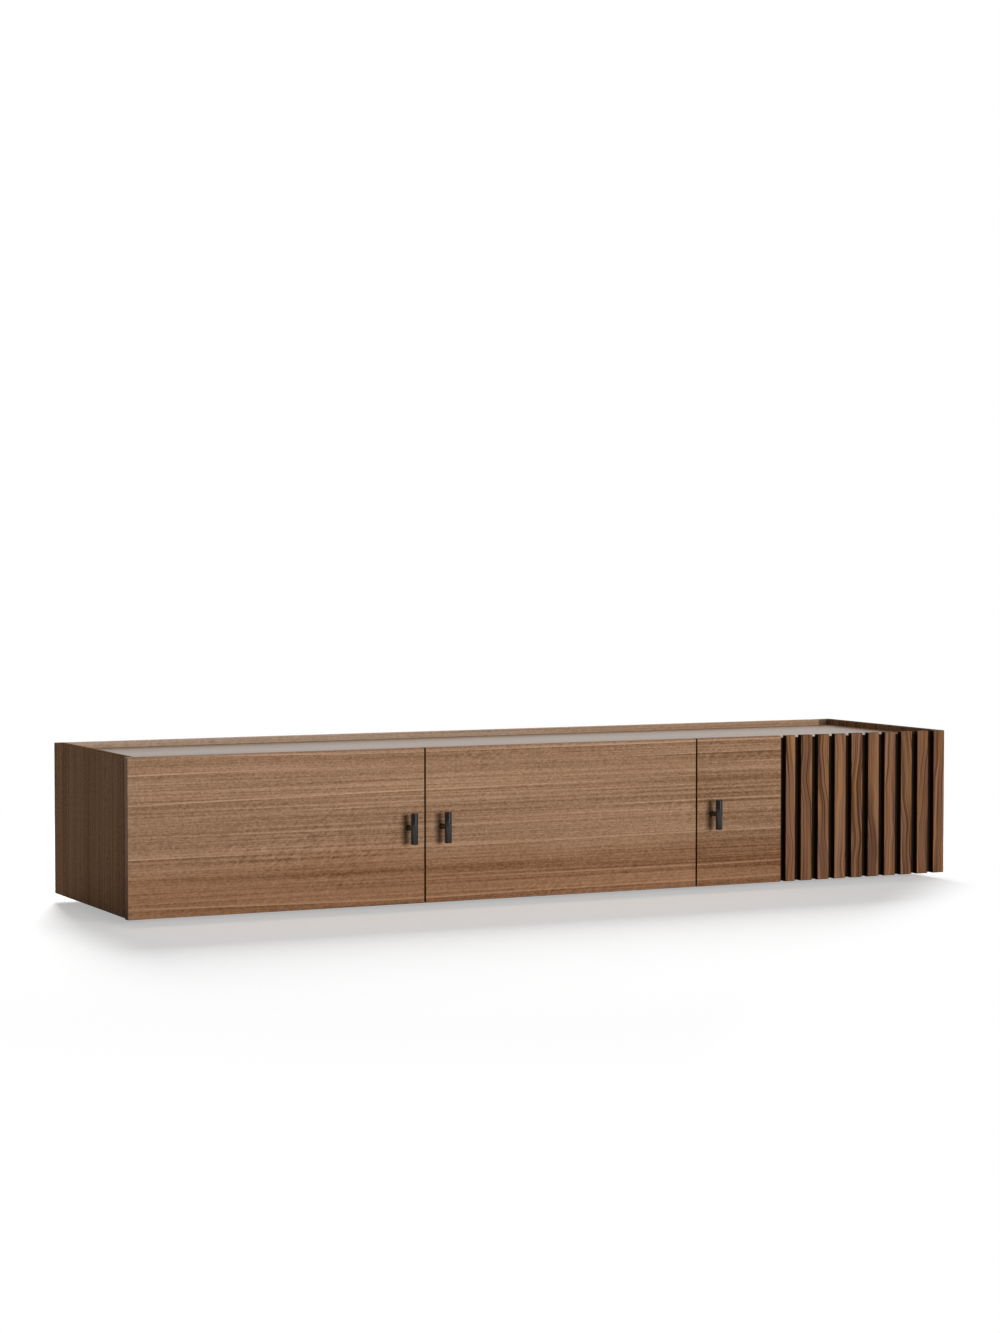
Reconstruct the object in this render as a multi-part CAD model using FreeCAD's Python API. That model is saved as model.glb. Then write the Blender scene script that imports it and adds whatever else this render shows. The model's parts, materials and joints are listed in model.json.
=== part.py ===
import FreeCAD, Part
import math
import os
from FreeCAD import Vector

# Floating media console, in millimetres.
# X runs along the front, +Y points into the wall and +Z is up.  The wall plane is Y = 0, and the
# origin is the middle of the row of screw holes in the wall cleat that the console hangs on.

# ---- overall sizes
overall_width = 1800.0      # across both side panels, and across the three doors
door_height = 300.0
overall_depth = 450.0       # wall to the front of the doors
door_drop = 2.0             # the doors reach this far below the carcass

# ---- carcass boards
side_thickness = 18.0
top_thickness = 18.0
bottom_thickness = 18.0
divider_thickness = 18.0
back_thickness = 8.0
rim_height = 12.0           # gallery above the top board
rim_thickness = 18.0        # rear rail, and the recess behind the back panel
board_edge_radius = 0.8

# ---- doors
door_thickness = 18.0
door_gap = 3.0              # between neighbouring doors
door_rear_gap = 3.0         # between a closed door and the carcass
door_edge_radius = 1.0

# ---- slatted door
flat_panel_width = 197.0
first_slat_gap = 12.0
first_slat_width = 22.0
slat_width = 26.5
slat_count = 10
backing_thickness = 5.0
backing_top_setback = 5.0
backing_bottom_setback = 0.5
backing_rebate = 8.0        # width of the backing's seat in the flat panel and in the last slat
slat_edge_radius = 0.8

# ---- handles
handle_edge_distance = 34.0
handle_drop = 3.0           # middle of the door to the middle of the bar
handle_bar_radius = 7.0
handle_bar_length = 60.0
handle_bar_chamfer = 0.8
handle_standoff = 29.0      # door face to the middle of the bar
handle_post_radius = 5.0
handle_post_engagement = 3.0
handle_screw_radius = 2.0
handle_screw_engagement = 12.0
handle_screw_head_radius = 4.0
handle_screw_head_height = 2.2

# ---- cup hinges: one pin in each cup, and an arm that hooks round the carcass edge
hinge_inset = 45.0          # inside of the top or bottom board to the middle of the hinge
pin_from_edge = 8.0
pin_from_front = 7.0
pin_radius = 1.1
pin_half_length = 8.9
eye_radius = 2.3
opening_angle = 95.0
cup_radius = 12.0
cup_edge_distance = 1.5     # door edge to the cup's bore
cup_wall = 0.8
cup_flange_thickness = 0.8
cup_flange_radius = 13.5
cup_flange_edge = 1.0       # door edge to the flange
cup_ear_half_height = 24.0
cup_ear_width = 14.0
cup_screw_spacing = 38.0
cup_screw_radius = 1.6
cup_screw_length = 11.0
cup_screw_head_radius = 2.8
cup_screw_head_height = 1.0
cup_lug_height = 3.0        # above the pin
arm_thickness = 1.6
arm_half_width = 4.5
arm_knee = 5.0              # carcass front to the knee of the arm
arm_foot = 21.0             # carcass front to where the arm lies on its plate
arm_length = 56.0           # carcass front to the end of the arm
plate_thickness = 3.0
plate_setback = 37.0        # carcass front to the plate's screws
plate_half_depth = 17.0
plate_half_height = 24.0
plate_screw_spacing = 32.0
plate_screw_radius = 2.5
plate_screw_length = 13.0
plate_screw_head_radius = 4.0
plate_screw_head_height = 1.6
arm_screw_setback = 46.0
arm_screw_radius = 2.0
arm_screw_head_radius = 3.6
arm_screw_head_height = 1.8

# ---- wall hanging
cleat_clearance = 0.5
cleat_end_clearance = 1.0
wall_cleat_end_setback = 20.0
wall_cleat_above = 30.0     # front edge of the wall cleat above its screws
wall_cleat_below = 35.0
hanging_cleat_height = 30.0     # front edge of the wall cleat up to the top board
cleat_bevel_angle = 45.0
wall_hole_count = 5
wall_hole_margin = 62.0     # end of the wall cleat to its outer hole
wall_hole_radius = 4.0

# ---- shelves
shelf_thickness = 16.0
shelf_side_clearance = 1.0
shelf_front_setback = 25.0
shelf_depth = 330.0
shelf_pin_radius = 2.5
shelf_pin_bore_depth = 8.5
shelf_pin_shank = 8.0
shelf_pin_reach = 9.0
shelf_pin_head_radius = 4.0
shelf_pin_flat = 1.0        # top of the pin's flat above its axis
shelf_pin_row_pitch = 32.0
shelf_pin_rows = 3
shelf_pin_inset = 50.0

# ---- cable ways
cable_hole_radius = 30.0
cable_hole_height = 95.0    # above the bottom board
grommet_wall = 3.0
grommet_flange_radius = 34.0
grommet_flange_thickness = 2.0
cable_notch_width = 60.0

# ---- fittings
bore_clearance = 0.1
bore_end_clearance = 0.5
pin_clearance = 0.05
running_gap = 0.3
dowel_radius = 4.0
dowel_half_length = 15.0
dowel_end_margin = 45.0
board_dowel_count = 3       # in each end of the top and bottom boards
divider_dowel_count = 2     # in each end of a divider
dowel_shift = 3.0           # dowels reach further into the end grain than into the face
cam_radius = 7.5
cam_height = 12.0
cam_distance = 24.0         # end of the board to the middle of the cam
cam_socket_depth = 5.0
cam_bolt_radius = 3.0
cam_bolt_anchor = 11.0
cam_margin = 85.0
cam_count = 2               # in each end of the top and bottom boards
back_screw_radius = 2.0
back_screw_length = 22.0
back_screw_head_radius = 3.8
back_screw_head_height = 1.5
back_screw_margin = 50.0
divider_screw_radius = 2.5
divider_screw_length = 50.0
divider_screw_head_radius = 4.5
divider_screw_head_height = 3.0
divider_screw_margin = 100.0
divider_screw_count = 2     # under each divider
backing_screw_radius = 1.5
backing_screw_length = 13.0
backing_screw_head_radius = 3.0
backing_screw_head_height = 1.4
backing_screw_margin = 35.0     # top or bottom of the door to the outer screws
backing_screw_rows = 3
bumper_radius = 3.0
bumper_inset = 12.0         # inside of the top or bottom board to the bumper

# ---- places that follow from the sizes
left_face = -overall_width / 2
right_face = overall_width / 2
left_inside = left_face + side_thickness
right_inside = right_face - side_thickness
door_front = -overall_depth
door_back = door_front + door_thickness
carcass_front = door_back + door_rear_gap
back_panel_rear = -rim_thickness
back_panel_front = back_panel_rear - back_thickness
top_underside = wall_cleat_above + hanging_cleat_height
top_surface = top_underside + top_thickness
door_top = top_surface + rim_height
door_bottom = door_top - door_height
door_middle = (door_bottom + door_top) / 2
carcass_bottom = door_bottom + door_drop
bottom_surface = carcass_bottom + bottom_thickness
door_width = (overall_width - 2 * door_gap) / 3
left_door_right = left_face + door_width
centre_door_left = left_door_right + door_gap
centre_door_right = centre_door_left + door_width
right_door_left = centre_door_right + door_gap
left_divider_middle = left_door_right + door_gap / 2
right_divider_middle = centre_door_right + door_gap / 2
half_divider = divider_thickness / 2
bays = {
    "left": (left_inside, left_divider_middle - half_divider),
    "centre": (left_divider_middle + half_divider, right_divider_middle - half_divider),
    "right": (right_divider_middle + half_divider, right_inside),
}
hinge_heights = (bottom_surface + hinge_inset, top_underside - hinge_inset)
shelf_underside = (bottom_surface + top_underside - shelf_thickness) / 2
shelf_front = carcass_front + shelf_front_setback
shelf_rear = shelf_front + shelf_depth
pin_depth = door_thickness - pin_from_front
cup_inside_depth = pin_depth + eye_radius + running_gap
cup_bore_depth = cup_inside_depth + cup_wall + bore_clearance
cup_middle = cup_edge_distance + cup_radius
cup_shell_radius = cup_radius - bore_clearance
cup_inside_radius = cup_shell_radius - cup_wall
past_square = math.radians(opening_angle - 90)
arm_leg = (pin_from_edge + arm_thickness / 2
           + (pin_depth + cup_flange_thickness + 2 * running_gap) / math.cos(past_square)
           + (pin_depth + door_rear_gap) * math.tan(past_square))

os.makedirs("parts", exist_ok=True)


# ---- shapes that many pieces share

def box(x_range, y_range, z_range):
    """A block between two corners, given as its range on each axis."""
    low = Vector(min(x_range), min(y_range), min(z_range))
    high = Vector(max(x_range), max(y_range), max(z_range))
    size = high - low
    return Part.makeBox(size.x, size.y, size.z, low)


def rod(radius, start, end):
    """A cylinder from one point to another."""
    direction = end - start
    return Part.makeCylinder(radius, direction.Length, start, direction)


def spread(low, high, count, margin):
    """Evenly spaced places between two ends, the first and last a margin inside them."""
    first = low + margin
    step = (high - margin - first) / (count - 1)
    return [first + step * index for index in range(count)]


def round_edges(solid, radius, chosen):
    """Fillet the straight edges that the test picks by their end points."""
    edges = [edge for edge in solid.Edges if chosen(edge.BoundBox)]
    return solid.makeFillet(radius, edges)


def headed_screw(seat, direction, shank_radius, length, head_radius, head_height):
    """A screw whose head lies on the seat and whose shank points along the direction."""
    shank = rod(shank_radius, seat, seat + direction * length)
    head = rod(head_radius, seat - direction * head_height, seat)
    return shank.fuse(head).removeSplitter()


def screw_bore(seat, direction, shank_radius, length):
    """The hole for a screw, a little wider and deeper than its shank."""
    return rod(shank_radius + bore_clearance, seat, seat + direction * (length + bore_end_clearance))


def export(name, solids):
    """Write one piece, or a group of like pieces, as a STEP file."""
    pieces = solids if isinstance(solids, list) else [solids]
    shape = pieces[0] if len(pieces) == 1 else Part.makeCompound(pieces)
    if not shape.isValid():
        raise ValueError(name + " is not a valid shape")
    shape.exportStep("parts/" + name + ".step")


# ---- dowels, cams and screws that hold the carcass together

def dowel(middle, direction):
    """A dowel, shifted along the direction into the end grain of the board that it holds."""
    centre = middle + direction * dowel_shift
    half = direction * dowel_half_length
    return rod(dowel_radius, centre - half, centre + half)


def dowel_bore(middle, direction):
    """The hole for a dowel in both boards."""
    centre = middle + direction * dowel_shift
    half = direction * (dowel_half_length + bore_end_clearance)
    return rod(dowel_radius + bore_clearance, centre - half, centre + half)


def board_end_places(z, y_rear, count, margin):
    """Places along both ends of a horizontal board, each with the way into that board."""
    depths = spread(carcass_front, y_rear, count, margin)
    left = [(Vector(left_inside, y, z), Vector(1, 0, 0)) for y in depths]
    right = [(Vector(right_inside, y, z), Vector(-1, 0, 0)) for y in depths]
    return left + right


def divider_end_places(count, margin):
    """Places along the upper and lower ends of the dividers, each with the way into the divider."""
    places = []
    for x in (left_divider_middle, right_divider_middle):
        for y in spread(carcass_front, back_panel_front, count, margin):
            places.append((Vector(x, y, bottom_surface), Vector(0, 0, 1)))
            places.append((Vector(x, y, top_underside), Vector(0, 0, -1)))
    return places


top_middle = top_underside + top_thickness / 2
bottom_middle = carcass_bottom + bottom_thickness / 2
rim_middle = (top_underside + door_top) / 2
rim_dowels = [(Vector(left_inside, -rim_thickness / 2, rim_middle), Vector(1, 0, 0)),
              (Vector(right_inside, -rim_thickness / 2, rim_middle), Vector(-1, 0, 0))]
end_dowels = (board_end_places(top_middle, -rim_thickness, board_dowel_count, dowel_end_margin)
              + board_end_places(bottom_middle, 0, board_dowel_count, dowel_end_margin))
divider_dowels = divider_end_places(divider_dowel_count, dowel_end_margin)
all_dowels = rim_dowels + end_dowels + divider_dowels
cams_by_underside = {
    top_underside: board_end_places(top_middle, -rim_thickness, cam_count, cam_margin),
    carcass_bottom: board_end_places(bottom_middle, 0, cam_count, cam_margin),
}
cam_places = [(place, inward, underside)
              for underside, places in cams_by_underside.items() for place, inward in places]
divider_screw_places = [Vector(x, y, carcass_bottom + divider_screw_head_height)
                        for x in (left_divider_middle, right_divider_middle)
                        for y in spread(carcass_front, back_panel_front,
                                        divider_screw_count, divider_screw_margin)]


def cam_foot(place, inward, underside):
    """Where the axis of a cam meets the underside of its board."""
    middle = place + inward * cam_distance
    return Vector(middle.x, middle.y, underside)


def cam_lock(place, inward, underside):
    """A cam disc let into the underside of a board, with a socket for the bolt's head."""
    foot = cam_foot(place, inward, underside)
    disc = rod(cam_radius, foot, foot + Vector(0, 0, cam_height))
    mouth = place + inward * (cam_distance - cam_radius - bore_end_clearance)
    socket = rod(cam_bolt_radius + bore_clearance, mouth,
                 mouth + inward * (cam_socket_depth + 2 * bore_end_clearance))
    return disc.cut(socket)


def cam_bore(place, inward, underside):
    """The blind hole for a cam disc."""
    foot = cam_foot(place, inward, underside)
    return rod(cam_radius + bore_clearance, foot, foot + Vector(0, 0, cam_height + bore_end_clearance))


def cam_bolt(place, inward):
    """The bolt that a cam pulls, anchored in the side panel."""
    tip = place + inward * (cam_distance - cam_radius + cam_socket_depth)
    return rod(cam_bolt_radius, place - inward * cam_bolt_anchor, tip)


def cam_bolt_bore(place, inward):
    """The hole for a cam bolt in the side panel and in the end of the board."""
    tip = place + inward * cam_distance
    start = place - inward * (cam_bolt_anchor + bore_end_clearance)
    return rod(cam_bolt_radius + bore_clearance, start, tip)


def carcass_bores():
    """Every hole of the carcass fittings, to be cut from whatever board it meets."""
    bores = [dowel_bore(place, inward) for place, inward in all_dowels]
    for place, inward, underside in cam_places:
        bores += [cam_bore(place, inward, underside), cam_bolt_bore(place, inward)]
    for place in divider_screw_places:
        bores.append(screw_bore(place, Vector(0, 0, 1), divider_screw_radius, divider_screw_length))
        bores.append(rod(divider_screw_head_radius + bore_clearance,
                         place - Vector(0, 0, divider_screw_head_height), place))
    return bores


# ---- shelf pins

def shelf_pin_columns():
    """Panel faces that carry shelves, each with the way out into its bay."""
    faces = []
    for left, right in bays.values():
        faces += [(left, 1), (right, -1)]
    return faces


shelf_pin_depths = (shelf_front + shelf_pin_inset, shelf_rear - shelf_pin_inset)


def shelf_pin(face, way, y):
    """A support pin: shank in the panel, collar on its face and a flat-topped peg under the shelf."""
    axis_z = shelf_underside - shelf_pin_flat
    shank = rod(shelf_pin_radius, Vector(face - way * shelf_pin_shank, y, axis_z), Vector(face, y, axis_z))
    peg = rod(shelf_pin_head_radius, Vector(face, y, axis_z), Vector(face + way * shelf_pin_reach, y, axis_z))
    room_above = box((face, face + way * shelf_pin_reach),
                     (y - shelf_pin_head_radius, y + shelf_pin_head_radius),
                     (shelf_underside, shelf_underside + shelf_pin_head_radius))
    return shank.fuse(peg.cut(room_above)).removeSplitter()


def shelf_pin_bores():
    """Rows of holes that let each shelf sit at several heights."""
    bores = []
    for face, way in shelf_pin_columns():
        for y in shelf_pin_depths:
            for row in range(shelf_pin_rows):
                step = row - (shelf_pin_rows - 1) / 2
                z = shelf_underside - shelf_pin_flat + step * shelf_pin_row_pitch
                start = Vector(face, y, z)
                bores.append(rod(shelf_pin_radius + bore_clearance, start,
                                 start - Vector(way * shelf_pin_bore_depth, 0, 0)))
    return bores


def shelf(bay):
    """A loose shelf that rests on four pins."""
    left, right = bay
    return box((left + shelf_side_clearance, right - shelf_side_clearance),
               (shelf_front, shelf_rear),
               (shelf_underside, shelf_underside + shelf_thickness))


# ---- hinges, drawn for a door that is hinged at its left edge.  X is the distance from that edge,
# Y the distance behind the door's back and Z the height from the middle of the hinge.

def place_hinge(shape, edge, side, height):
    """Move a hinge piece to a door edge, mirrored for a door that is hinged at its right edge."""
    turned = shape if side > 0 else shape.mirror(Vector(0, 0, 0), Vector(1, 0, 0))
    placed = turned.copy()
    placed.translate(Vector(edge, door_back, height))
    return placed


def bent_strip(corners, thickness, half_width):
    """A strip of flat steel bent round vertical lines through the corners."""
    up = Vector(0, 0, 2 * half_width)
    low = Vector(0, 0, -half_width)
    half = thickness / 2
    strip = None
    for start, end in zip(corners, corners[1:]):
        along = (end - start).normalize()
        across = Vector(-along.y, along.x, 0) * half
        outline = [start + across, end + across, end - across, start - across, start + across]
        leg = Part.Face(Part.makePolygon([point + low for point in outline])).extrude(up)
        strip = leg if strip is None else strip.fuse(leg)
    for corner in corners[1:-1]:
        strip = strip.fuse(Part.makeCylinder(half, 2 * half_width, corner + low))
    return strip.removeSplitter()


def pin_middle():
    """The hinge pin's axis."""
    return Vector(pin_from_edge, -pin_depth, 0)


def cup_inside():
    """The round space in a hinge cup."""
    return rod(cup_inside_radius, Vector(cup_middle, -cup_inside_depth, 0),
               Vector(cup_middle, cup_flange_thickness, 0))


def cup_screw_seats():
    """Where the two screws of a cup seat on its ears."""
    return [Vector(cup_middle, cup_flange_thickness, sign * cup_screw_spacing / 2) for sign in (-1, 1)]


def hinge_cup():
    """A pressed cup with a flange, two screw ears and two lugs that hold the pin."""
    shell = rod(cup_shell_radius, Vector(cup_middle, -cup_inside_depth - cup_wall, 0),
                Vector(cup_middle, 0, 0))
    disc = rod(cup_flange_radius, Vector(cup_middle, 0, 0), Vector(cup_middle, cup_flange_thickness, 0))
    disc = disc.common(box((cup_flange_edge, cup_middle + cup_flange_radius),
                           (0, cup_flange_thickness), (-cup_flange_radius, cup_flange_radius)))
    ears = box((cup_middle - cup_ear_width / 2, cup_middle + cup_ear_width / 2),
               (0, cup_flange_thickness), (-cup_ear_half_height, cup_ear_half_height))
    body = shell.fuse([disc, ears]).cut(cup_inside())
    lug_side = (0, pin_from_edge + eye_radius + cup_wall)
    lug_rise = (-cup_inside_depth, -pin_depth + cup_lug_height)
    arm_room = arm_half_width + running_gap
    for side in (-1, 1):
        block = box(lug_side, lug_rise, (side * arm_room, side * cup_radius))
        body = body.fuse(block.common(cup_inside()))
    pin_hole = rod(pin_radius + pin_clearance, pin_middle() - Vector(0, 0, pin_half_length + running_gap),
                   pin_middle() + Vector(0, 0, pin_half_length + running_gap))
    screw_holes = [screw_bore(seat, Vector(0, -1, 0), cup_screw_radius, cup_screw_length)
                   for seat in cup_screw_seats()]
    return body.cut([pin_hole] + screw_holes).removeSplitter()


def cup_bores():
    """The holes in the back of a door for one cup and its two screws."""
    pocket = rod(cup_radius, Vector(cup_middle, -cup_bore_depth, 0), Vector(cup_middle, 0, 0))
    holes = [screw_bore(seat, Vector(0, -1, 0), cup_screw_radius, cup_screw_length)
             for seat in cup_screw_seats()]
    return [pocket] + holes


def hinge_pin():
    """The pin that the arm turns on."""
    return rod(pin_radius, pin_middle() - Vector(0, 0, pin_half_length),
               pin_middle() + Vector(0, 0, pin_half_length))


def cup_screws():
    """The two screws of one cup."""
    return [headed_screw(seat, Vector(0, -1, 0), cup_screw_radius, cup_screw_length,
                         cup_screw_head_radius, cup_screw_head_height) for seat in cup_screw_seats()]


def arm_screw_seat(panel_face):
    """Where the arm's clamping screw seats on the arm."""
    return Vector(panel_face + plate_thickness + arm_thickness, door_rear_gap + arm_screw_setback, 0)


def hinge_arm(panel_face):
    """The arm, from its eye on the pin, round the carcass edge and onto the mounting plate."""
    eye_low = pin_middle() - Vector(0, 0, arm_half_width)
    eye_high = pin_middle() + Vector(0, 0, arm_half_width)
    foot_x = panel_face + plate_thickness + arm_thickness / 2
    strip = bent_strip([pin_middle(),
                        Vector(arm_leg, -pin_depth, 0),
                        Vector(arm_leg, door_rear_gap + arm_knee, 0),
                        Vector(foot_x, door_rear_gap + arm_foot, 0),
                        Vector(foot_x, door_rear_gap + arm_length, 0)], arm_thickness, arm_half_width)
    eye = rod(eye_radius, eye_low, eye_high)
    hole = rod(pin_radius + pin_clearance, eye_low, eye_high)
    clamp_hole = rod(arm_screw_radius + bore_clearance, arm_screw_seat(panel_face),
                     arm_screw_seat(panel_face) - Vector(arm_thickness, 0, 0))
    return strip.fuse(eye).cut([hole, clamp_hole]).removeSplitter()


def plate_screw_seats(panel_face):
    """Where the two screws of a mounting plate seat on it."""
    x = panel_face + plate_thickness
    y = door_rear_gap + plate_setback
    return [Vector(x, y, sign * plate_screw_spacing / 2) for sign in (-1, 1)]


def hinge_plate(panel_face):
    """The mounting plate on the inside of a side panel or divider."""
    middle = door_rear_gap + plate_setback
    plate = box((panel_face, panel_face + plate_thickness),
                (middle - plate_half_depth, middle + plate_half_depth),
                (-plate_half_height, plate_half_height))
    clamp_seat = arm_screw_seat(panel_face)
    clamp_hole = rod(arm_screw_radius + bore_clearance, clamp_seat,
                     clamp_seat - Vector(arm_thickness + plate_thickness, 0, 0))
    holes = [screw_bore(seat, Vector(-1, 0, 0), plate_screw_radius, plate_screw_length)
             for seat in plate_screw_seats(panel_face)]
    return plate.cut([clamp_hole] + holes)


def plate_screws(panel_face):
    """The two screws of one mounting plate."""
    return [headed_screw(seat, Vector(-1, 0, 0), plate_screw_radius, plate_screw_length,
                         plate_screw_head_radius, plate_screw_head_height)
            for seat in plate_screw_seats(panel_face)]


def plate_screw_bores(panel_face):
    """The holes for one mounting plate's screws in the side panel or divider."""
    return [screw_bore(seat, Vector(-1, 0, 0), plate_screw_radius, plate_screw_length)
            for seat in plate_screw_seats(panel_face)]


def arm_screw(panel_face):
    """The screw that clamps the arm on its plate."""
    length = arm_thickness + plate_thickness - bore_clearance
    return headed_screw(arm_screw_seat(panel_face), Vector(-1, 0, 0), arm_screw_radius, length,
                        arm_screw_head_radius, arm_screw_head_height)


# Each door: the edge that it is hinged at, the way from there into the door, the distance from that
# edge to the panel that carries the hinge, and the door's other edge.
doors = {
    "left": (left_face, 1, side_thickness, left_door_right),
    "centre": (centre_door_right, -1, half_divider - door_gap / 2, centre_door_left),
    "right": (right_face, -1, side_thickness, right_door_left),
}


def on_door(door, make):
    """Copies of a hinge piece, or of a list of them, at both hinges of a door."""
    edge, side, _, _ = doors[door]
    made = make if isinstance(make, list) else [make]
    return [place_hinge(shape, edge, side, height) for height in hinge_heights for shape in made]


def panel_face_of(door):
    """Distance from a door's hinged edge to the face that carries its hinges."""
    return doors[door][2]


def all_plate_screw_bores():
    """The holes for the mounting plates' screws in all panels."""
    bores = []
    for door in doors:
        bores += on_door(door, plate_screw_bores(panel_face_of(door)))
    return bores


# ---- carcass

carcass_holes = carcass_bores() + shelf_pin_bores() + all_plate_screw_bores()


def drilled(board):
    """A board with every carcass hole that meets it."""
    meeting = [hole for hole in carcass_holes if hole.BoundBox.intersect(board.BoundBox)]
    return board.cut(meeting)


def side_panel(x_outer, x_inner):
    """A side panel.  Its upper edge stands above the top board as the end of the gallery."""
    board = box((x_outer, x_inner), (carcass_front, 0), (carcass_bottom, door_top))
    lowest_top = door_top - board_edge_radius
    board = round_edges(board, board_edge_radius,
                        lambda bound: bound.ZMin > lowest_top and bound.YLength > bound.XLength)
    return drilled(board)


def top_board():
    """The top board, sunk between the side panels and the rear rim."""
    return drilled(box((left_inside, right_inside), (carcass_front, -rim_thickness),
                       (top_underside, top_surface)))


def bay_middle(bay):
    """The middle of a bay's width."""
    return (bay[0] + bay[1]) / 2


def bottom_board():
    """The bottom board, which reaches the wall and has a cable notch behind each bay."""
    board = box((left_inside, right_inside), (carcass_front, 0), (carcass_bottom, bottom_surface))
    notches = [box((bay_middle(bay) - cable_notch_width / 2, bay_middle(bay) + cable_notch_width / 2),
                   (-rim_thickness, 0), (carcass_bottom, bottom_surface)) for bay in bays.values()]
    return drilled(board).cut(notches)


def divider(x_middle):
    """An upright board between two bays."""
    return drilled(box((x_middle - half_divider, x_middle + half_divider),
                       (carcass_front, back_panel_front), (bottom_surface, top_underside))
                   ).cut(back_screw_bores())


def rear_rim():
    """The rail that closes the gallery at the wall and covers the hanging cleat."""
    rail = box((left_inside, right_inside), (-rim_thickness, 0), (top_underside, door_top))
    lowest_top = door_top - board_edge_radius
    rail = round_edges(rail, board_edge_radius,
                       lambda bound: bound.ZMin > lowest_top and bound.XLength > bound.YLength)
    return drilled(rail)


# ---- back panel and its screws

cleat_screw_height = top_underside - hanging_cleat_height / 2


def back_screw_places():
    """Screws through the back panel: into the dividers from behind, into the cleat from inside.

    Each place comes with the way that its screw points."""
    places = []
    for x in (left_divider_middle, right_divider_middle):
        for z in (bottom_surface + back_screw_margin, shelf_underside):
            places.append((Vector(x, back_panel_rear, z), Vector(0, -1, 0)))
    for left, right in bays.values():
        for x in (left + back_screw_margin, right - back_screw_margin):
            places.append((Vector(x, back_panel_front, cleat_screw_height), Vector(0, 1, 0)))
    return places


def back_screw_bores():
    """The holes for the back panel's screws."""
    return [screw_bore(seat, way, back_screw_radius, back_screw_length) for seat, way in back_screw_places()]


def back_screws():
    """The back panel's screws."""
    return [headed_screw(seat, way, back_screw_radius, back_screw_length,
                         back_screw_head_radius, back_screw_head_height)
            for seat, way in back_screw_places()]


def cable_holes():
    """One round cable way through the back panel behind each bay."""
    z = bottom_surface + cable_hole_height
    return [rod(cable_hole_radius, Vector(bay_middle(bay), back_panel_front, z),
                Vector(bay_middle(bay), back_panel_rear, z)) for bay in bays.values()]


def back_panel():
    """The thin board that closes the bays in front of the wall recess."""
    panel = box((left_inside, right_inside), (back_panel_front, back_panel_rear),
                (bottom_surface, top_underside))
    return panel.cut(cable_holes() + back_screw_bores())


def cable_grommet(x):
    """A flanged ring that lines a cable way."""
    z = bottom_surface + cable_hole_height
    front = Vector(x, back_panel_front, z)
    rear = Vector(x, back_panel_rear, z)
    lip = Vector(0, grommet_flange_thickness, 0)
    outer = cable_hole_radius - bore_clearance
    ring = rod(outer, front, rear).fuse(rod(grommet_flange_radius, front - lip, front))
    return ring.cut(rod(outer - grommet_wall, front - lip, rear)).removeSplitter()


# ---- the two halves of the bevelled hanging cleat

cleat_thickness = rim_thickness - cleat_clearance


def bevel_height(y):
    """Height of the sloping contact between the cleats, which falls towards the wall."""
    return wall_cleat_above - (y + cleat_thickness) * math.tan(math.radians(cleat_bevel_angle))


def cleat(profile, half_length):
    """A batten of constant profile, given as points across the wall gap."""
    points = [Vector(-half_length, y, z) for y, z in profile]
    face = Part.Face(Part.makePolygon(points + [points[0]]))
    return face.extrude(Vector(2 * half_length, 0, 0))


def wall_cleat():
    """The batten that is screwed to the wall."""
    front = -cleat_thickness
    half_length = right_inside - wall_cleat_end_setback
    batten = cleat([(0, -wall_cleat_below), (front, -wall_cleat_below),
                    (front, bevel_height(front)), (0, bevel_height(0))], half_length)
    holes = [rod(wall_hole_radius, Vector(x, front, 0), Vector(x, 0, 0))
             for x in spread(-half_length, half_length, wall_hole_count, wall_hole_margin)]
    return batten.cut(holes)


def hanging_cleat():
    """The batten on the console that drops behind the wall cleat."""
    front = back_panel_rear
    rear = -cleat_clearance
    batten = cleat([(rear, bevel_height(rear)), (front, bevel_height(front)),
                    (front, top_underside), (rear, top_underside)],
                   right_inside - cleat_end_clearance)
    return batten.cut(back_screw_bores())


# ---- doors

def handle_middle(door):
    """Where a handle stands on the face of its door."""
    _, side, _, free_edge = doors[door]
    return Vector(free_edge - side * handle_edge_distance, door_front, door_middle - handle_drop)


def handle_screw_way(door):
    """The hole for the handle's screw through the door."""
    place = handle_middle(door)
    return rod(handle_screw_radius + bore_clearance, place, place + Vector(0, door_thickness, 0))


def round_front(board, radius):
    """Round the four front edges of a door board."""
    last_front = door_front + radius
    return round_edges(board, radius, lambda bound: bound.YMax < last_front)


def plain_door(door):
    """A plain door board with its cup pockets and its handle hole."""
    hinged_edge, _, _, free_edge = doors[door]
    board = box((hinged_edge, free_edge), (door_front, door_back), (door_bottom, door_top))
    board = round_front(board, door_edge_radius)
    return board.cut(on_door(door, cup_bores()) + [handle_screw_way(door)])


def handle_post_tip():
    """Where the post ends inside the bar."""
    return door_front - (handle_standoff - handle_bar_radius + handle_post_engagement)


def handle_post(door):
    """The post between a door and its handle bar, threaded for the handle's screw."""
    place = handle_middle(door)
    tip = Vector(place.x, handle_post_tip(), place.z)
    post = rod(handle_post_radius, place, tip)
    thread = rod(handle_screw_radius + bore_clearance, place,
                 place - Vector(0, handle_screw_engagement + bore_end_clearance, 0))
    return post.cut(thread)


def handle_bar(door):
    """The upright bar of a handle, with a flat-bottomed socket for its post."""
    place = handle_middle(door)
    middle = place - Vector(0, handle_standoff, 0)
    half = Vector(0, 0, handle_bar_length / 2)
    bar = rod(handle_bar_radius, middle - half, middle + half)
    ends = [edge for edge in bar.Edges if edge.BoundBox.ZLength < handle_bar_chamfer]
    bar = bar.makeChamfer(handle_bar_chamfer, ends)
    socket = rod(handle_post_radius + bore_clearance, place, Vector(place.x, handle_post_tip(), place.z))
    return bar.cut(socket)


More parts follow.
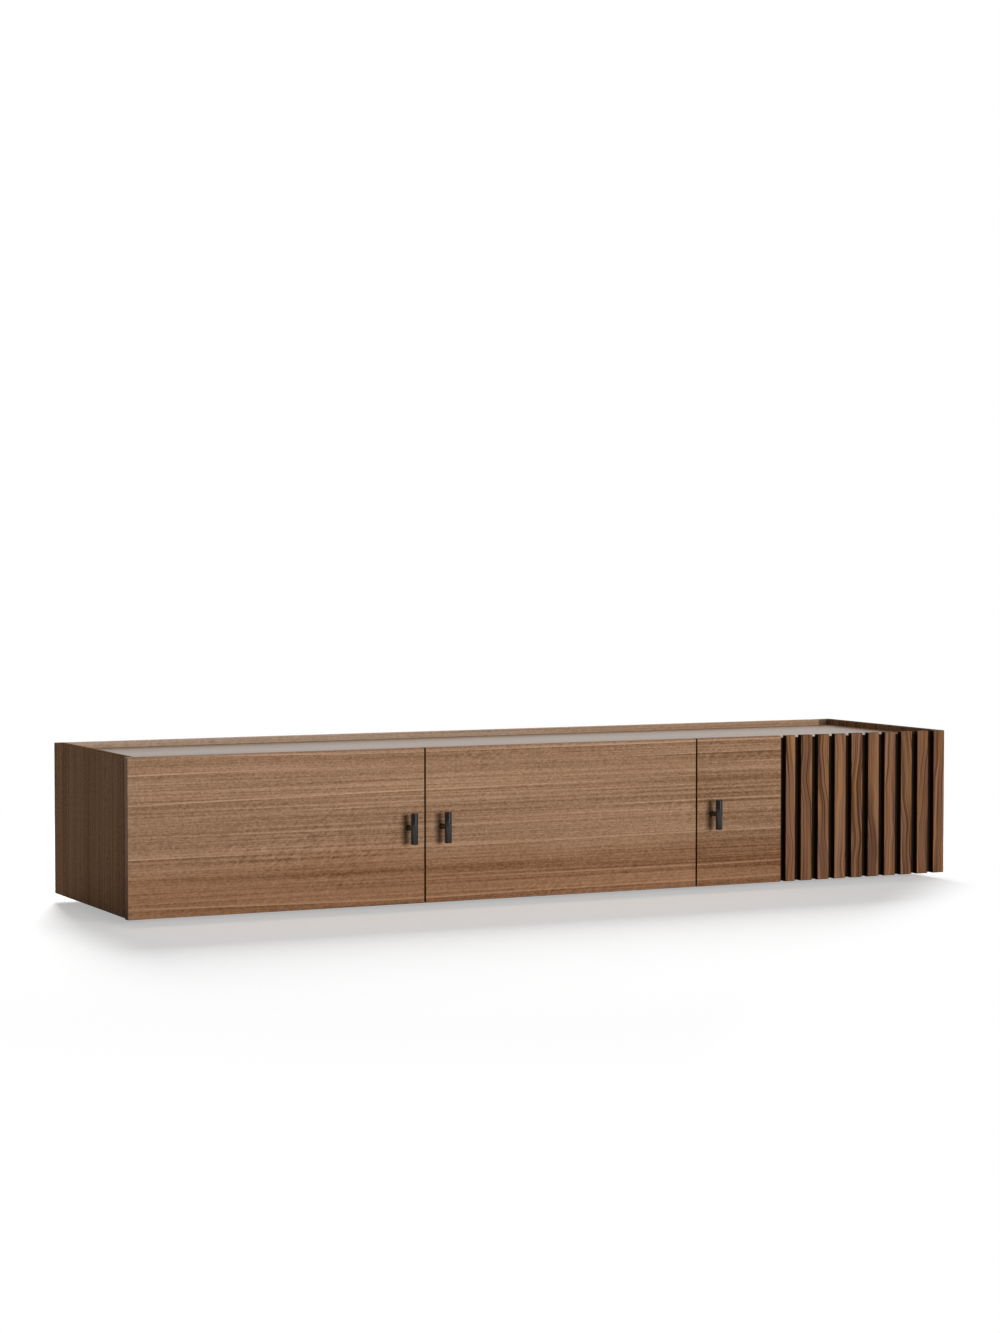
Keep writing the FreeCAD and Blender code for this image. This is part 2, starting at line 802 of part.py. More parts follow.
def handle_screw(door):
    """The screw that holds a handle from behind the door."""
    seat = handle_middle(door) + Vector(0, door_thickness, 0)
    return headed_screw(seat, Vector(0, -1, 0), handle_screw_radius, door_thickness + handle_screw_engagement,
                        handle_screw_head_radius, handle_screw_head_height)


# ---- slatted door

flat_panel_right = right_door_left + flat_panel_width
slat_gap = ((right_face - flat_panel_right - first_slat_gap - first_slat_width
             - slat_width * (slat_count - 1)) / (slat_count - 1))
backing_left = flat_panel_right - backing_rebate
backing_right = right_face - slat_width + backing_rebate
backing_front = door_back - backing_thickness


def slat_range(index):
    """Left and right faces of a slat, counted from 0 at the flat panel."""
    first_left = flat_panel_right + first_slat_gap
    if index == 0:
        return first_left, first_left + first_slat_width
    left = first_left + first_slat_width + slat_gap + (index - 1) * (slat_width + slat_gap)
    return left, left + slat_width


def backing():
    """The thin dark board behind the slats, let into the flat panel and the last slat."""
    return box((backing_left, backing_right), (backing_front, door_back),
               (door_bottom + backing_bottom_setback, door_top - backing_top_setback))


def backing_screw_seats():
    """Screws through the backing: a column in each slat and in both rebates."""
    columns = [sum(slat_range(index)) / 2 for index in range(slat_count - 1)]
    columns += [backing_left + backing_rebate / 2, backing_right - backing_rebate / 2]
    heights = spread(door_bottom, door_top, backing_screw_rows, backing_screw_margin)
    return [Vector(x, door_back, z) for x in columns for z in heights]


def backing_screw_bores():
    """The holes for the backing's screws."""
    return [screw_bore(seat, Vector(0, -1, 0), backing_screw_radius, backing_screw_length)
            for seat in backing_screw_seats()]


def backing_screws():
    """The backing's screws."""
    return [headed_screw(seat, Vector(0, -1, 0), backing_screw_radius, backing_screw_length,
                         backing_screw_head_radius, backing_screw_head_height)
            for seat in backing_screw_seats()]


slatted_door_bores = backing_screw_bores() + on_door("right", cup_bores())


def bored_for_slatted_door(board):
    """A board of the slatted door with every screw hole and cup pocket that meets it."""
    return board.cut([bore for bore in slatted_door_bores if bore.BoundBox.intersect(board.BoundBox)])


def flat_panel():
    """The plain part of the slatted door, rebated at the back for the backing."""
    board = box((right_door_left, flat_panel_right), (door_front, door_back), (door_bottom, door_top))
    board = round_front(board, door_edge_radius).cut(backing())
    return bored_for_slatted_door(board).cut(handle_screw_way("right"))


def slat(index):
    """An upright slat.  The last one is as thick as the door and carries the hinge cups."""
    is_last = index == slat_count - 1
    rear = door_back if is_last else backing_front
    board = box(slat_range(index), (door_front, rear), (door_bottom, door_top))
    board = round_front(board, slat_edge_radius)
    if is_last:
        board = board.cut(backing())
    return bored_for_slatted_door(board)


def slat_backing():
    """The backing with its screw holes and the part of the cup pockets that reaches it."""
    return bored_for_slatted_door(backing())


# ---- bumpers

def bumpers():
    """Soft buttons on the dividers where the free edge of each door lands."""
    reach = Vector(0, door_rear_gap - running_gap, 0)
    buttons = []
    for _, side, _, free_edge in doors.values():
        x = free_edge - side * (half_divider - door_gap / 2) / 2
        for z in (bottom_surface + bumper_inset, top_underside - bumper_inset):
            seat = Vector(x, carcass_front, z)
            buttons.append(rod(bumper_radius, seat - reach, seat))
    return buttons


# ---- export

export("left_side_panel", side_panel(left_face, left_inside))
export("right_side_panel", side_panel(right_face, right_inside))
export("top_panel", top_board())
export("bottom_panel", bottom_board())
export("left_divider", divider(left_divider_middle))
export("right_divider", divider(right_divider_middle))
export("rear_rim", rear_rim())
export("back_panel", back_panel())
export("back_panel_screws", back_screws())
export("cable_grommets", [cable_grommet(bay_middle(bay)) for bay in bays.values()])
export("wall_cleat", wall_cleat())
export("hanging_cleat", hanging_cleat())
export("carcass_dowels", [dowel(place, inward) for place, inward in all_dowels])
export("cam_locks", [cam_lock(*cam) for cam in cam_places])
export("cam_bolts", [cam_bolt(place, inward) for place, inward, _ in cam_places])
export("divider_screws", [headed_screw(place, Vector(0, 0, 1), divider_screw_radius, divider_screw_length,
                                       divider_screw_head_radius, divider_screw_head_height)
                          for place in divider_screw_places])
export("shelf_pins", [shelf_pin(face, way, y) for face, way in shelf_pin_columns() for y in shelf_pin_depths])
for name, bay in bays.items():
    export(name + "_shelf", shelf(bay))
export("door_bumpers", bumpers())

plates, plate_fixings, arm_fixings = [], [], []
for name in doors:
    face = panel_face_of(name)
    plates += on_door(name, hinge_plate(face))
    plate_fixings += on_door(name, plate_screws(face))
    arm_fixings += on_door(name, arm_screw(face))
    export(name + "_hinge_arms", on_door(name, hinge_arm(face)))
    export(name + "_hinge_cups", on_door(name, hinge_cup()))
    export(name + "_hinge_pins", on_door(name, hinge_pin()))
    export(name + "_cup_screws", on_door(name, cup_screws()))
    export(name + "_handle_bar", handle_bar(name))
    export(name + "_handle_post", handle_post(name))
    export(name + "_handle_screw", handle_screw(name))
export("hinge_plates", plates)
export("hinge_plate_screws", plate_fixings)
export("hinge_arm_screws", arm_fixings)

export("left_door", plain_door("left"))
export("centre_door", plain_door("centre"))
export("right_door_panel", flat_panel())
export("right_door_backing", slat_backing())
export("right_backing_screws", backing_screws())
for index in range(slat_count):
    export("slat_%02d" % (index + 1), slat(index))
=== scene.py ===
import json
import math
import random
from typing import NamedTuple

import bmesh
import bpy
from bpy.props import FloatProperty, FloatVectorProperty, PointerProperty
from bpy.types import NodeSocket, Operator, Panel, PropertyGroup
from bpy.utils import register_class, unregister_class
from mathutils import Matrix, Vector

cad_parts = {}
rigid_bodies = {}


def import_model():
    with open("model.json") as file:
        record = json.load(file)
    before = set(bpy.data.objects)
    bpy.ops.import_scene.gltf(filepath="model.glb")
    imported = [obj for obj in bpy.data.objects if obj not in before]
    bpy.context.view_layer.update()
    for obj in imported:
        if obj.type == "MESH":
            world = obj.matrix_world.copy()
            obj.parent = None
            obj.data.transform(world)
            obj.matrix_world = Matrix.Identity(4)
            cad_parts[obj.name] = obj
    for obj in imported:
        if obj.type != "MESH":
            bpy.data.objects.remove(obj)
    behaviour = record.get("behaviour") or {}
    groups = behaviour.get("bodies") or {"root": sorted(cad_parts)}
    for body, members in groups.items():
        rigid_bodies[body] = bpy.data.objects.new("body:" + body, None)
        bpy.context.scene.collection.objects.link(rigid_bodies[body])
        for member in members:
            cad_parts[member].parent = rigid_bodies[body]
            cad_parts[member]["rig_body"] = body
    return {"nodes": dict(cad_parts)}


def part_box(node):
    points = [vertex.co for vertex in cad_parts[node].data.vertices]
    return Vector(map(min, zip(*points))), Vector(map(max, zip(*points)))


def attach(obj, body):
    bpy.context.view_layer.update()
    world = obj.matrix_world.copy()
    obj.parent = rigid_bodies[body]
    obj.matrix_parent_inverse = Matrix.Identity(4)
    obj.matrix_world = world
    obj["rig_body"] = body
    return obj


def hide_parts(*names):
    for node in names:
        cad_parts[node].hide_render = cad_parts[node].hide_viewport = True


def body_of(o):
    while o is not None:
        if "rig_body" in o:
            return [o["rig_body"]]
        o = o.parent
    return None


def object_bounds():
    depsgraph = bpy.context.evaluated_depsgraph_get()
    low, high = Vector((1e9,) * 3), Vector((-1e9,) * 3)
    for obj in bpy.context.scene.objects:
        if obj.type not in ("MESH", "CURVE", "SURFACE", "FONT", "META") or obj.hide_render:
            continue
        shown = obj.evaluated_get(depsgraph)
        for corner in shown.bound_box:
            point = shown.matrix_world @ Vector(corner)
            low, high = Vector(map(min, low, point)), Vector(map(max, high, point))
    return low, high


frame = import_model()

bl_info = {
    "name": "Floating media console",
    "version": (1, 0, 0),
    "blender": (4, 5, 0),
    "location": "3D View > Sidebar > Console",
    "description": "Finishes, fittings and studio for a walnut media console that hangs on a wall",
    "category": "Object",
}

CAD_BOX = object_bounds()
DOOR_SIDES = ("left", "centre", "right")
SLATS = sorted(name for name in frame["nodes"] if name.startswith("slat_"))
MILLIMETRE = 0.001
WHITE = (1.0, 1.0, 1.0)


# ---- settings

def colour(name, description, default):
    """A colour setting."""
    return FloatVectorProperty(name=name, description=description, default=default,
                               subtype="COLOR", size=3, min=0.0, max=1.0)


def length(name, description, default):
    """A size setting in metres."""
    return FloatProperty(name=name, description=description, default=default,
                         min=0.0, unit="LENGTH", precision=5)


def area(name, description, default):
    """A setting of a width and a height in metres."""
    return FloatVectorProperty(name=name, description=description, default=default,
                               size=2, min=0.0, unit="LENGTH")


def place(name, description, default):
    """A setting of a place in metres."""
    return FloatVectorProperty(name=name, description=description, default=default,
                               subtype="TRANSLATION", size=3)


def angle(name, description, degrees):
    """An angle setting."""
    return FloatProperty(name=name, description=description, default=math.radians(degrees),
                         subtype="ANGLE")


def share(name, description, default):
    """A setting from none to all."""
    return FloatProperty(name=name, description=description, default=default,
                         min=0.0, max=1.0, subtype="FACTOR")


def power(name, description, default):
    """A lamp's power in watts."""
    return FloatProperty(name=name, description=description, default=default, min=0.0, unit="POWER")


class ConsoleFinishes(PropertyGroup):
    """Colours and sheen of the console's surfaces."""

    veneer_light: colour("Veneer, light", "Light streaks of the walnut veneer", (0.443, 0.271, 0.168))
    veneer_dark: colour("Veneer, dark", "Dark streaks of the walnut veneer", (0.200, 0.104, 0.0516))
    veneer_pores: colour("Veneer, pores", "Open pores of the walnut veneer", (0.06, 0.03, 0.018))
    veneer_roughness: share("Veneer roughness", "Roughness of the oiled veneer", 0.46)
    slat_light: colour("Slats, light", "Light streaks of the solid walnut slats", (0.283, 0.1465, 0.0738))
    slat_dark: colour("Slats, dark", "Dark streaks of the solid walnut slats", (0.0825, 0.0366, 0.0190))
    # Painted shade: this near-black colour on the slats' sides stands in for the shadow inside the gaps.
    slat_gap_shade: colour("Slats, sides", "Dark stain on the sides inside the gaps", (0.030, 0.017, 0.009))
    slat_roughness: share("Slat roughness", "Roughness of the oiled slats", 0.53)
    backing: colour("Backing", "Stained board behind the slats", (0.020, 0.011, 0.006))
    back_board: colour("Back panel", "Dark foil on the back panel", (0.085, 0.062, 0.047))
    beech: colour("Beech", "Cleats and dowels", (0.62, 0.43, 0.27))
    handle_metal: colour("Handles", "Satin black coat of the handles", (0.010, 0.0097, 0.0095))
    zinc: colour("Zinc", "Plated screws, cams and pins", (0.60, 0.60, 0.58))
    nickel: colour("Nickel", "Plated hinges", (0.62, 0.59, 0.55))
    grommet: colour("Grommets", "Moulded cable grommets", (0.020, 0.020, 0.021))
    silicone: colour("Bumpers", "Soft door bumpers", (0.72, 0.73, 0.72))


class StudioSettings(PropertyGroup):
    """Floor, lights and camera round the console."""

    floor_drop: length("Floor drop", "Gap between the console and the floor", 0.015)
    floor_size: length("Floor size", "Side of the square floor", 60.0)
    camera_place: place("Camera place", "Where the camera stands", (-2.5837, -5.4875, 0.4796))
    camera_yaw: angle("Camera yaw", "Turn of the camera to the right", 25.876)
    camera_pitch: angle("Camera pitch", "Tilt of the camera downwards", 2.415)
    camera_lens: FloatProperty(name="Lens", description="Focal length for a 36 mm long side, in mm",
                               default=77.75, min=1.0, subtype="DISTANCE_CAMERA")
    ambient: share("Ambient", "Level of the light from all round", 0.12)
    key_place: place("Key light", "Where the light on the doors stands", (1.75, -11.85, 1.35))
    key_target: place("Key target", "What the light on the doors points at", (0.0, -0.45, -0.06))
    key_size: area("Key size", "Width and height of the light on the doors", (4.3, 3.4))
    key_power: power("Key power", "Light on the doors", 1030.0)
    back_place: place("Back light", "Where the light from behind stands", (0.9, 5.5, 4.0))
    back_target: place("Back target", "What the light from behind points at", (0.0, -0.45, -0.1))
    back_size: area("Back size", "Width and height of the light from behind", (1.8, 4.5))
    back_power: power("Back power", "Light on the top board, the back and the floor", 570.0)


# ---- node trees

NODES_IN_A_ROW = 8
NODE_WIDTH = 200
NODE_HEIGHT = 280
NOISE_CORE = (0.3, 0.7)         # most of a noise lies between these


class Noise(NamedTuple):
    """Soft noise around 0.5: its cells in a metre along each axis, and its weight in a tone."""

    cells: tuple
    detail: float = 2.0
    roughness: float = 0.5
    distortion: float = 0.0
    weight: float = 1.0


class TreeWriter:
    """Adds linked nodes to a node tree and lays them out in rows."""

    def __init__(self, tree):
        self.tree = tree
        self.count = 0

    def add(self, kind, values=None, **settings):
        """A node with its settings, and its inputs linked or set."""
        node = self.tree.nodes.new(kind)
        row, column = divmod(self.count, NODES_IN_A_ROW)
        node.location = (NODE_WIDTH * column, -NODE_HEIGHT * row)
        self.count += 1
        for name, value in settings.items():
            setattr(node, name, value)
        for key, value in (values or {}).items():
            if isinstance(value, NodeSocket):
                self.tree.links.new(value, node.inputs[key])
            else:
                node.inputs[key].default_value = value
        return node

    def maths(self, operation, *values):
        """The result of a Math node."""
        return self.add("ShaderNodeMath", dict(enumerate(values)), operation=operation).outputs[0]

    def vector(self, operation, *values):
        """The result of a Vector Math node that gives a vector."""
        return self.add("ShaderNodeVectorMath", dict(enumerate(values)), operation=operation).outputs[0]

    def measure(self, operation, *values):
        """The result of a Vector Math node that gives a number."""
        values = dict(enumerate(values))
        return self.add("ShaderNodeVectorMath", values, operation=operation).outputs["Value"]

    def split(self, vector):
        """The three parts of a vector."""
        return self.add("ShaderNodeSeparateXYZ", {0: vector}).outputs

    def join(self, *parts):
        """A vector out of three parts."""
        return self.add("ShaderNodeCombineXYZ", dict(enumerate(parts))).outputs[0]

    def noise(self, point, layer):
        """A layer of noise at a point."""
        values = {"Vector": self.vector("MULTIPLY", point, layer.cells), "Scale": 1.0,
                  "Detail": layer.detail, "Roughness": layer.roughness, "Distortion": layer.distortion}
        return self.add("ShaderNodeTexNoise", values).outputs[0]

    def shifted(self, value, noise, weight):
        """A value that noise lowers and raises by up to half the weight."""
        return self.maths("MULTIPLY_ADD", self.maths("SUBTRACT", noise, 0.5), weight, value)

    def ramp(self, factor, stops):
        """A colour ramp through positions with their colours."""
        node = self.add("ShaderNodeValToRGB", {"Fac": factor})
        elements = node.color_ramp.elements
        while len(elements) < len(stops):
            elements.new(0.5)
        for element, (position, tint) in zip(elements, stops):
            element.position = position
            element.color = (*tint, 1.0)
        return node.outputs["Color"]

    def rise(self, value, low, high, bottom=0.0, top=1.0):
        """A smooth step of a value from a bottom to a top."""
        values = {"Value": value, 1: low, 2: high, 3: bottom, 4: top}
        return self.add("ShaderNodeMapRange", values, interpolation_type="SMOOTHSTEP").outputs[0]

    def blend(self, factor, first, second, mode="MIX"):
        """Two colours mixed by a factor."""
        values = {0: factor}
        for key, tint in ((6, first), (7, second)):
            values[key] = tint if isinstance(tint, NodeSocket) else (*tint, 1.0)
        return self.add("ShaderNodeMix", values, data_type="RGBA", blend_type=mode).outputs[2]

    def tinted(self, base, tint):
        """A colour times a tint."""
        return self.blend(1.0, base, tint, mode="MULTIPLY")

    def uneven_tint(self, noise, tint, darkest, lightest, span=NOISE_CORE):
        """A colour between two shares of a tint, as noise has it."""
        shades = [[min(1.0, level * value) for value in tint] for level in (darkest, lightest)]
        return self.ramp(noise, list(zip(span, shades)))

    def uneven_gloss(self, noise, roughness, spread, span=NOISE_CORE):
        """A roughness that noise raises by a spread where it is high and lowers where it is low."""
        return self.rise(noise, *span, roughness - spread, roughness + spread)

    def either(self, factor, first, second):
        """Two shaders mixed by a factor."""
        return self.add("ShaderNodeMixShader", {0: factor, 1: first, 2: second}).outputs[0]


def new_material(name):
    """An empty material and the writer of its node tree."""
    material = bpy.data.materials.new(name)
    material.use_nodes = True
    material.node_tree.nodes.clear()
    return material, TreeWriter(material.node_tree)


def finish_surface(writer, base, roughness, height, bump, **fixed):
    """A Principled surface whose colour, roughness and relief may vary over the piece."""
    relief = writer.add("ShaderNodeBump", {"Height": height, "Strength": 1.0, "Distance": bump})
    values = {"Base Color": base, "Roughness": roughness, "Normal": relief.outputs[0]}
    values.update(fixed)
    shader = writer.add("ShaderNodeBsdfPrincipled", values)
    writer.add("ShaderNodeOutputMaterial", {"Surface": shader.outputs[0]})


def object_point(writer):
    """Position on the piece in metres, in the console's own frame."""
    return writer.add("ShaderNodeTexCoord").outputs["Object"]


# ---- walnut grain

FACING = 0.7                    # cosine of the angle within which a face looks along an axis
WOOD_IOR = 1.36                 # oiled wood, which mirrors less than lacquer
WALNUT_DEEPEST = 0.7            # share of the dark colour in the darkest places
WALNUT_PALEST = 1.15            # share of the light colour in the lightest places
FIBRE_SPAN = (0.2, 0.8)         # noise of the fibres between rough and smooth
FIBRE_GLOSS = -0.05             # high fibres are smoother


def along_grain(writer, grain, edge):
    """Position along, across and through the grain, and one on the faces across the grain.

    The grain runs along the axis that is named, and along another one on those end faces."""
    places = writer.add("ShaderNodeTexCoord").outputs
    axes = dict(zip("xyz", writer.split(places["Object"])))
    facing = dict(zip("xyz", writer.split(writer.vector("ABSOLUTE", places["Normal"]))))
    looks = {axis: writer.maths("GREATER_THAN", facing[axis], FACING) for axis in "xyz"}
    first, second = [axis for axis in "xyz" if axis != grain]
    other = second if edge == first else first
    point = writer.join(axes[grain], axes[second], axes[first])
    aside = writer.join(axes[grain], axes[first], axes[second])
    end = writer.join(axes[edge], axes[other], axes[grain])
    for chosen, order in ((looks[second], aside), (looks[grain], end)):
        values = {0: chosen, 4: point, 5: order}
        point = writer.add("ShaderNodeMix", values, data_type="VECTOR").outputs[1]
    return point, looks[grain]


def walnut_colours(dark, light):
    """Stops from the dark to the light colour of a piece of walnut."""
    middle = [(low + high) / 2 for low, high in zip(dark, light)]
    deep = [WALNUT_DEEPEST * value for value in dark]
    pale = [min(1.0, WALNUT_PALEST * value) for value in light]
    return [(0.0, deep), (0.2, dark), (0.5, middle), (0.8, light), (1.0, pale)]


def shaded_ends(writer, base, end, tint):
    """A colour whose faces across the grain take a darker tint."""
    return writer.tinted(base, writer.blend(end, WHITE, tint))


# ---- walnut veneer

RINGS_A_METRE = 34.0            # growth rings across the veneer
RING_DRIFT = 3.0                # rings that a growth line strays by
EARLY_WOOD_END = 0.15           # share of a ring over which its light line fades
LATE_WOOD_START = 0.55          # share of a ring at which its dark line begins
RINGS_SHOW = (0.36, 0.60)       # noise at which rings begin to show, and show in full
PLAIN_TONE = 0.52
EARLY_WOOD_TONE = 0.42
LATE_WOOD_TONE = -0.17
MOTTLE_ANGLE = math.radians(-38)
MOTTLE_SHOWS = (0.50, 0.64)
MOTTLE_TONE = 0.6
PORES_SHOW = (0.63, 0.72)
PORE_STRENGTH = 0.35            # how far a pore hides the colour of the wood
PORE_DEPTH = 0.6                # beside the height of the fibres
OTHER_PLACE = (5.3, 2.7, 8.1)   # where noise is read that mustn't follow the growth lines
VENEER_RELIEF = 0.06 * MILLIMETRE
VENEER_GLOSS = 0.1
EDGE_HUE = (1.0, 0.9, 0.8)      # banded ends are warmer where they are darker

# cells in a metre along, across and through the grain
GROWTH_DRIFT = Noise((0.45, 6.0, 3.0), roughness=0.4)
RING_CLARITY = Noise((0.7, 16.0, 3.0), detail=1.0)
VENEER_BANDS = Noise((0.7, 24.0, 9.0), detail=3.0, weight=0.66)
VENEER_STREAKS = Noise((1.1, 240.0, 40.0), detail=3.0, roughness=0.55, weight=1.24)
VENEER_FLECKS = Noise((200.0, 350.0, 90.0), detail=1.0, weight=0.72)
VENEER_FIBRES = Noise((24.0, 1300.0, 300.0), roughness=0.6, weight=0.4)
MOTTLE_RIPPLE = Noise((70.0, 200.0, 10.0), detail=1.0, distortion=0.2)
MOTTLE_PATCHES = Noise((3.0, 9.0, 3.0))
VENEER_PORES = Noise((70.0, 1500.0, 300.0), detail=1.0)
ZONE_WANDER = Noise((3.0, 5.0, 5.0))


class Zone(NamedTuple):
    """A tinted part of a board, from where the tint starts along an axis to where it is full."""

    axis: str
    start: float
    full: float
    stray: float                # how far its border wanders
    tint: tuple


# A darker, redder tint that zones lay on part of a board.
REDDER_TINT = (0.86, 0.76, 0.68)
DOOR_FOOT = CAD_BOX[0].z
RIM_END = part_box("rear_rim")[1].x
# Darker and redder towards the bottom of the doors.
DOOR_ZONES = (Zone("z", DOOR_FOOT + 0.125, DOOR_FOOT + 0.055, 0.08, REDDER_TINT),)
RIM_ZONES = (
    # Darker and redder over the right half, so the paler left half is painted sheen, standing in for the
    # light that end mirrors.
    Zone("x", -0.1, 0.6, 0.08, REDDER_TINT),
    # Painted shade: the last 20 mm of the rim, in the corner where the right rim shades it, is darkened to
    # 0.4 of its colour.
    Zone("x", RIM_END - 0.0215, RIM_END - 0.0195, 0.0, (0.40, 0.38, 0.38)),
)


def sliced_figure(writer, point):
    """Tone, pores and fibres of sliced walnut from a point along, across and through the grain."""
    elsewhere = writer.vector("ADD", point, OTHER_PLACE)
    straight = writer.maths("MULTIPLY", writer.split(point)[1], RINGS_A_METRE)
    ring = writer.maths("MULTIPLY_ADD", writer.noise(point, GROWTH_DRIFT), RING_DRIFT, straight)
    phase = writer.maths("FRACT", ring)
    clarity = writer.rise(writer.noise(elsewhere, RING_CLARITY), *RINGS_SHOW)
    early = writer.maths("MULTIPLY", writer.rise(phase, 0.0, EARLY_WOOD_END, 1.0, 0.0), clarity)
    late = writer.maths("MULTIPLY", writer.rise(phase, LATE_WOOD_START, 1.0), clarity)
    tone = writer.maths("MULTIPLY_ADD", early, EARLY_WOOD_TONE, PLAIN_TONE)
    tone = writer.maths("MULTIPLY_ADD", late, LATE_WOOD_TONE, tone)
    for layer in (VENEER_BANDS, VENEER_STREAKS, VENEER_FLECKS):
        tone = writer.shifted(tone, writer.noise(point, layer), layer.weight)
    fibres = writer.noise(point, VENEER_FIBRES)
    tone = writer.shifted(tone, fibres, VENEER_FIBRES.weight)
    slanted = writer.add("ShaderNodeMapping", {"Vector": point, "Rotation": (0.0, 0.0, MOTTLE_ANGLE)})
    ripple = writer.maths("SUBTRACT", writer.noise(slanted.outputs[0], MOTTLE_RIPPLE), 0.5)
    patches = writer.rise(writer.noise(elsewhere, MOTTLE_PATCHES), *MOTTLE_SHOWS)
    tone = writer.maths("MULTIPLY_ADD", writer.maths("MULTIPLY", ripple, patches), MOTTLE_TONE, tone)
    pores = writer.rise(writer.noise(point, VENEER_PORES), *PORES_SHOW)
    return tone, pores, fibres


def zone_tint(writer, base, point, zone):
    """A colour that is tinted in a zone of the board."""
    across = writer.split(object_point(writer))["xyz".index(zone.axis)]
    across = writer.shifted(across, writer.noise(point, ZONE_WANDER), zone.stray)
    if zone.start < zone.full:
        amount = writer.rise(across, zone.start, zone.full)
    else:
        amount = writer.rise(across, zone.full, zone.start, 1.0, 0.0)
    return writer.blend(amount, base, writer.tinted(base, zone.tint))


def sliced_walnut(name, finishes, grain, edge, seed=(0.0, 0.0, 0.0), tone_shift=0.0, zones=(),
                  wash=None, edge_shade=None, gloss=VENEER_GLOSS, **fixed):
    """Oiled walnut veneer whose grain runs along one axis, and along another on the banded ends.

    In its zones it is tinted, a wash tints all of it, and the edge shade is the share of its colour
    that the banded ends keep; on door ends that face into the dark gaps this darkening is painted shade."""
    material, writer = new_material(name)
    point, end = along_grain(writer, grain, edge)
    tone, pores, fibres = sliced_figure(writer, writer.vector("ADD", point, seed))
    tone = writer.maths("ADD", tone, tone_shift)
    base = writer.ramp(tone, walnut_colours(finishes.veneer_dark, finishes.veneer_light))
    for zone in zones:
        base = zone_tint(writer, base, point, zone)
    base = writer.blend(writer.maths("MULTIPLY", pores, PORE_STRENGTH), base, finishes.veneer_pores)
    if wash is not None:
        base = writer.tinted(base, wash)
    if edge_shade is not None:
        base = shaded_ends(writer, base, end, [edge_shade * part for part in EDGE_HUE])
    rough = writer.uneven_gloss(fibres, finishes.veneer_roughness, FIBRE_GLOSS, span=FIBRE_SPAN)
    height = writer.maths("SUBTRACT", fibres, writer.maths("MULTIPLY", pores, PORE_DEPTH))
    finish_surface(writer, base, rough, height, VENEER_RELIEF,
                   **{"IOR": WOOD_IOR, "Specular IOR Level": gloss, **fixed})
    return material


# ---- solid walnut slats

SLAT_SEED = 175139
SLAT_TONE = 0.54
SLAT_TONE_SPREAD = 0.13         # how far a slat's tone may lie from the others'
SLAT_LEAN = 0.112               # most metres that the figure leans aside in a metre of height
SLAT_LOG = 9.0                  # metres each way of the noise that the slats are cut from
SLAT_SWAY_WIDTH = 0.055
SLAT_RINGS_A_METRE = 110.0
SLAT_LATE_WOOD_TONE = -0.42
SLAT_RINGS_SHOW = (0.42, 0.62)
SLAT_YELLOW = (1.09, 1.01, 0.86)
SLAT_MAUVE = (0.97, 0.94, 1.06)
SLAT_HUES_MEET = (0.32, 0.68)
SLAT_HUE_PLACE = (4.0, 4.0, 4.0)    # where the hue's noise is read, so that it doesn't follow the tone
SLAT_END_GRAIN = (0.34, 0.32, 0.30)
SLAT_RELIEF = 0.08 * MILLIMETRE
SLAT_GLOSS = 0.18

# cells in a metre up, across and through the slat
SLAT_SWAY = Noise((4.5, 3.0, 2.0))
SLAT_BANDS = Noise((1.5, 85.0, 20.0), weight=1.2)
SLAT_LINES = Noise((2.5, 330.0, 60.0), detail=3.0, roughness=0.6, weight=1.5)
SLAT_FIBRES = Noise((16.0, 1100.0, 300.0), roughness=0.6, weight=0.5)
SLAT_RING_CLARITY = Noise((3.0, 50.0, 10.0), detail=1.0)
SLAT_HUE = Noise((7.0, 45.0, 20.0), detail=1.0)


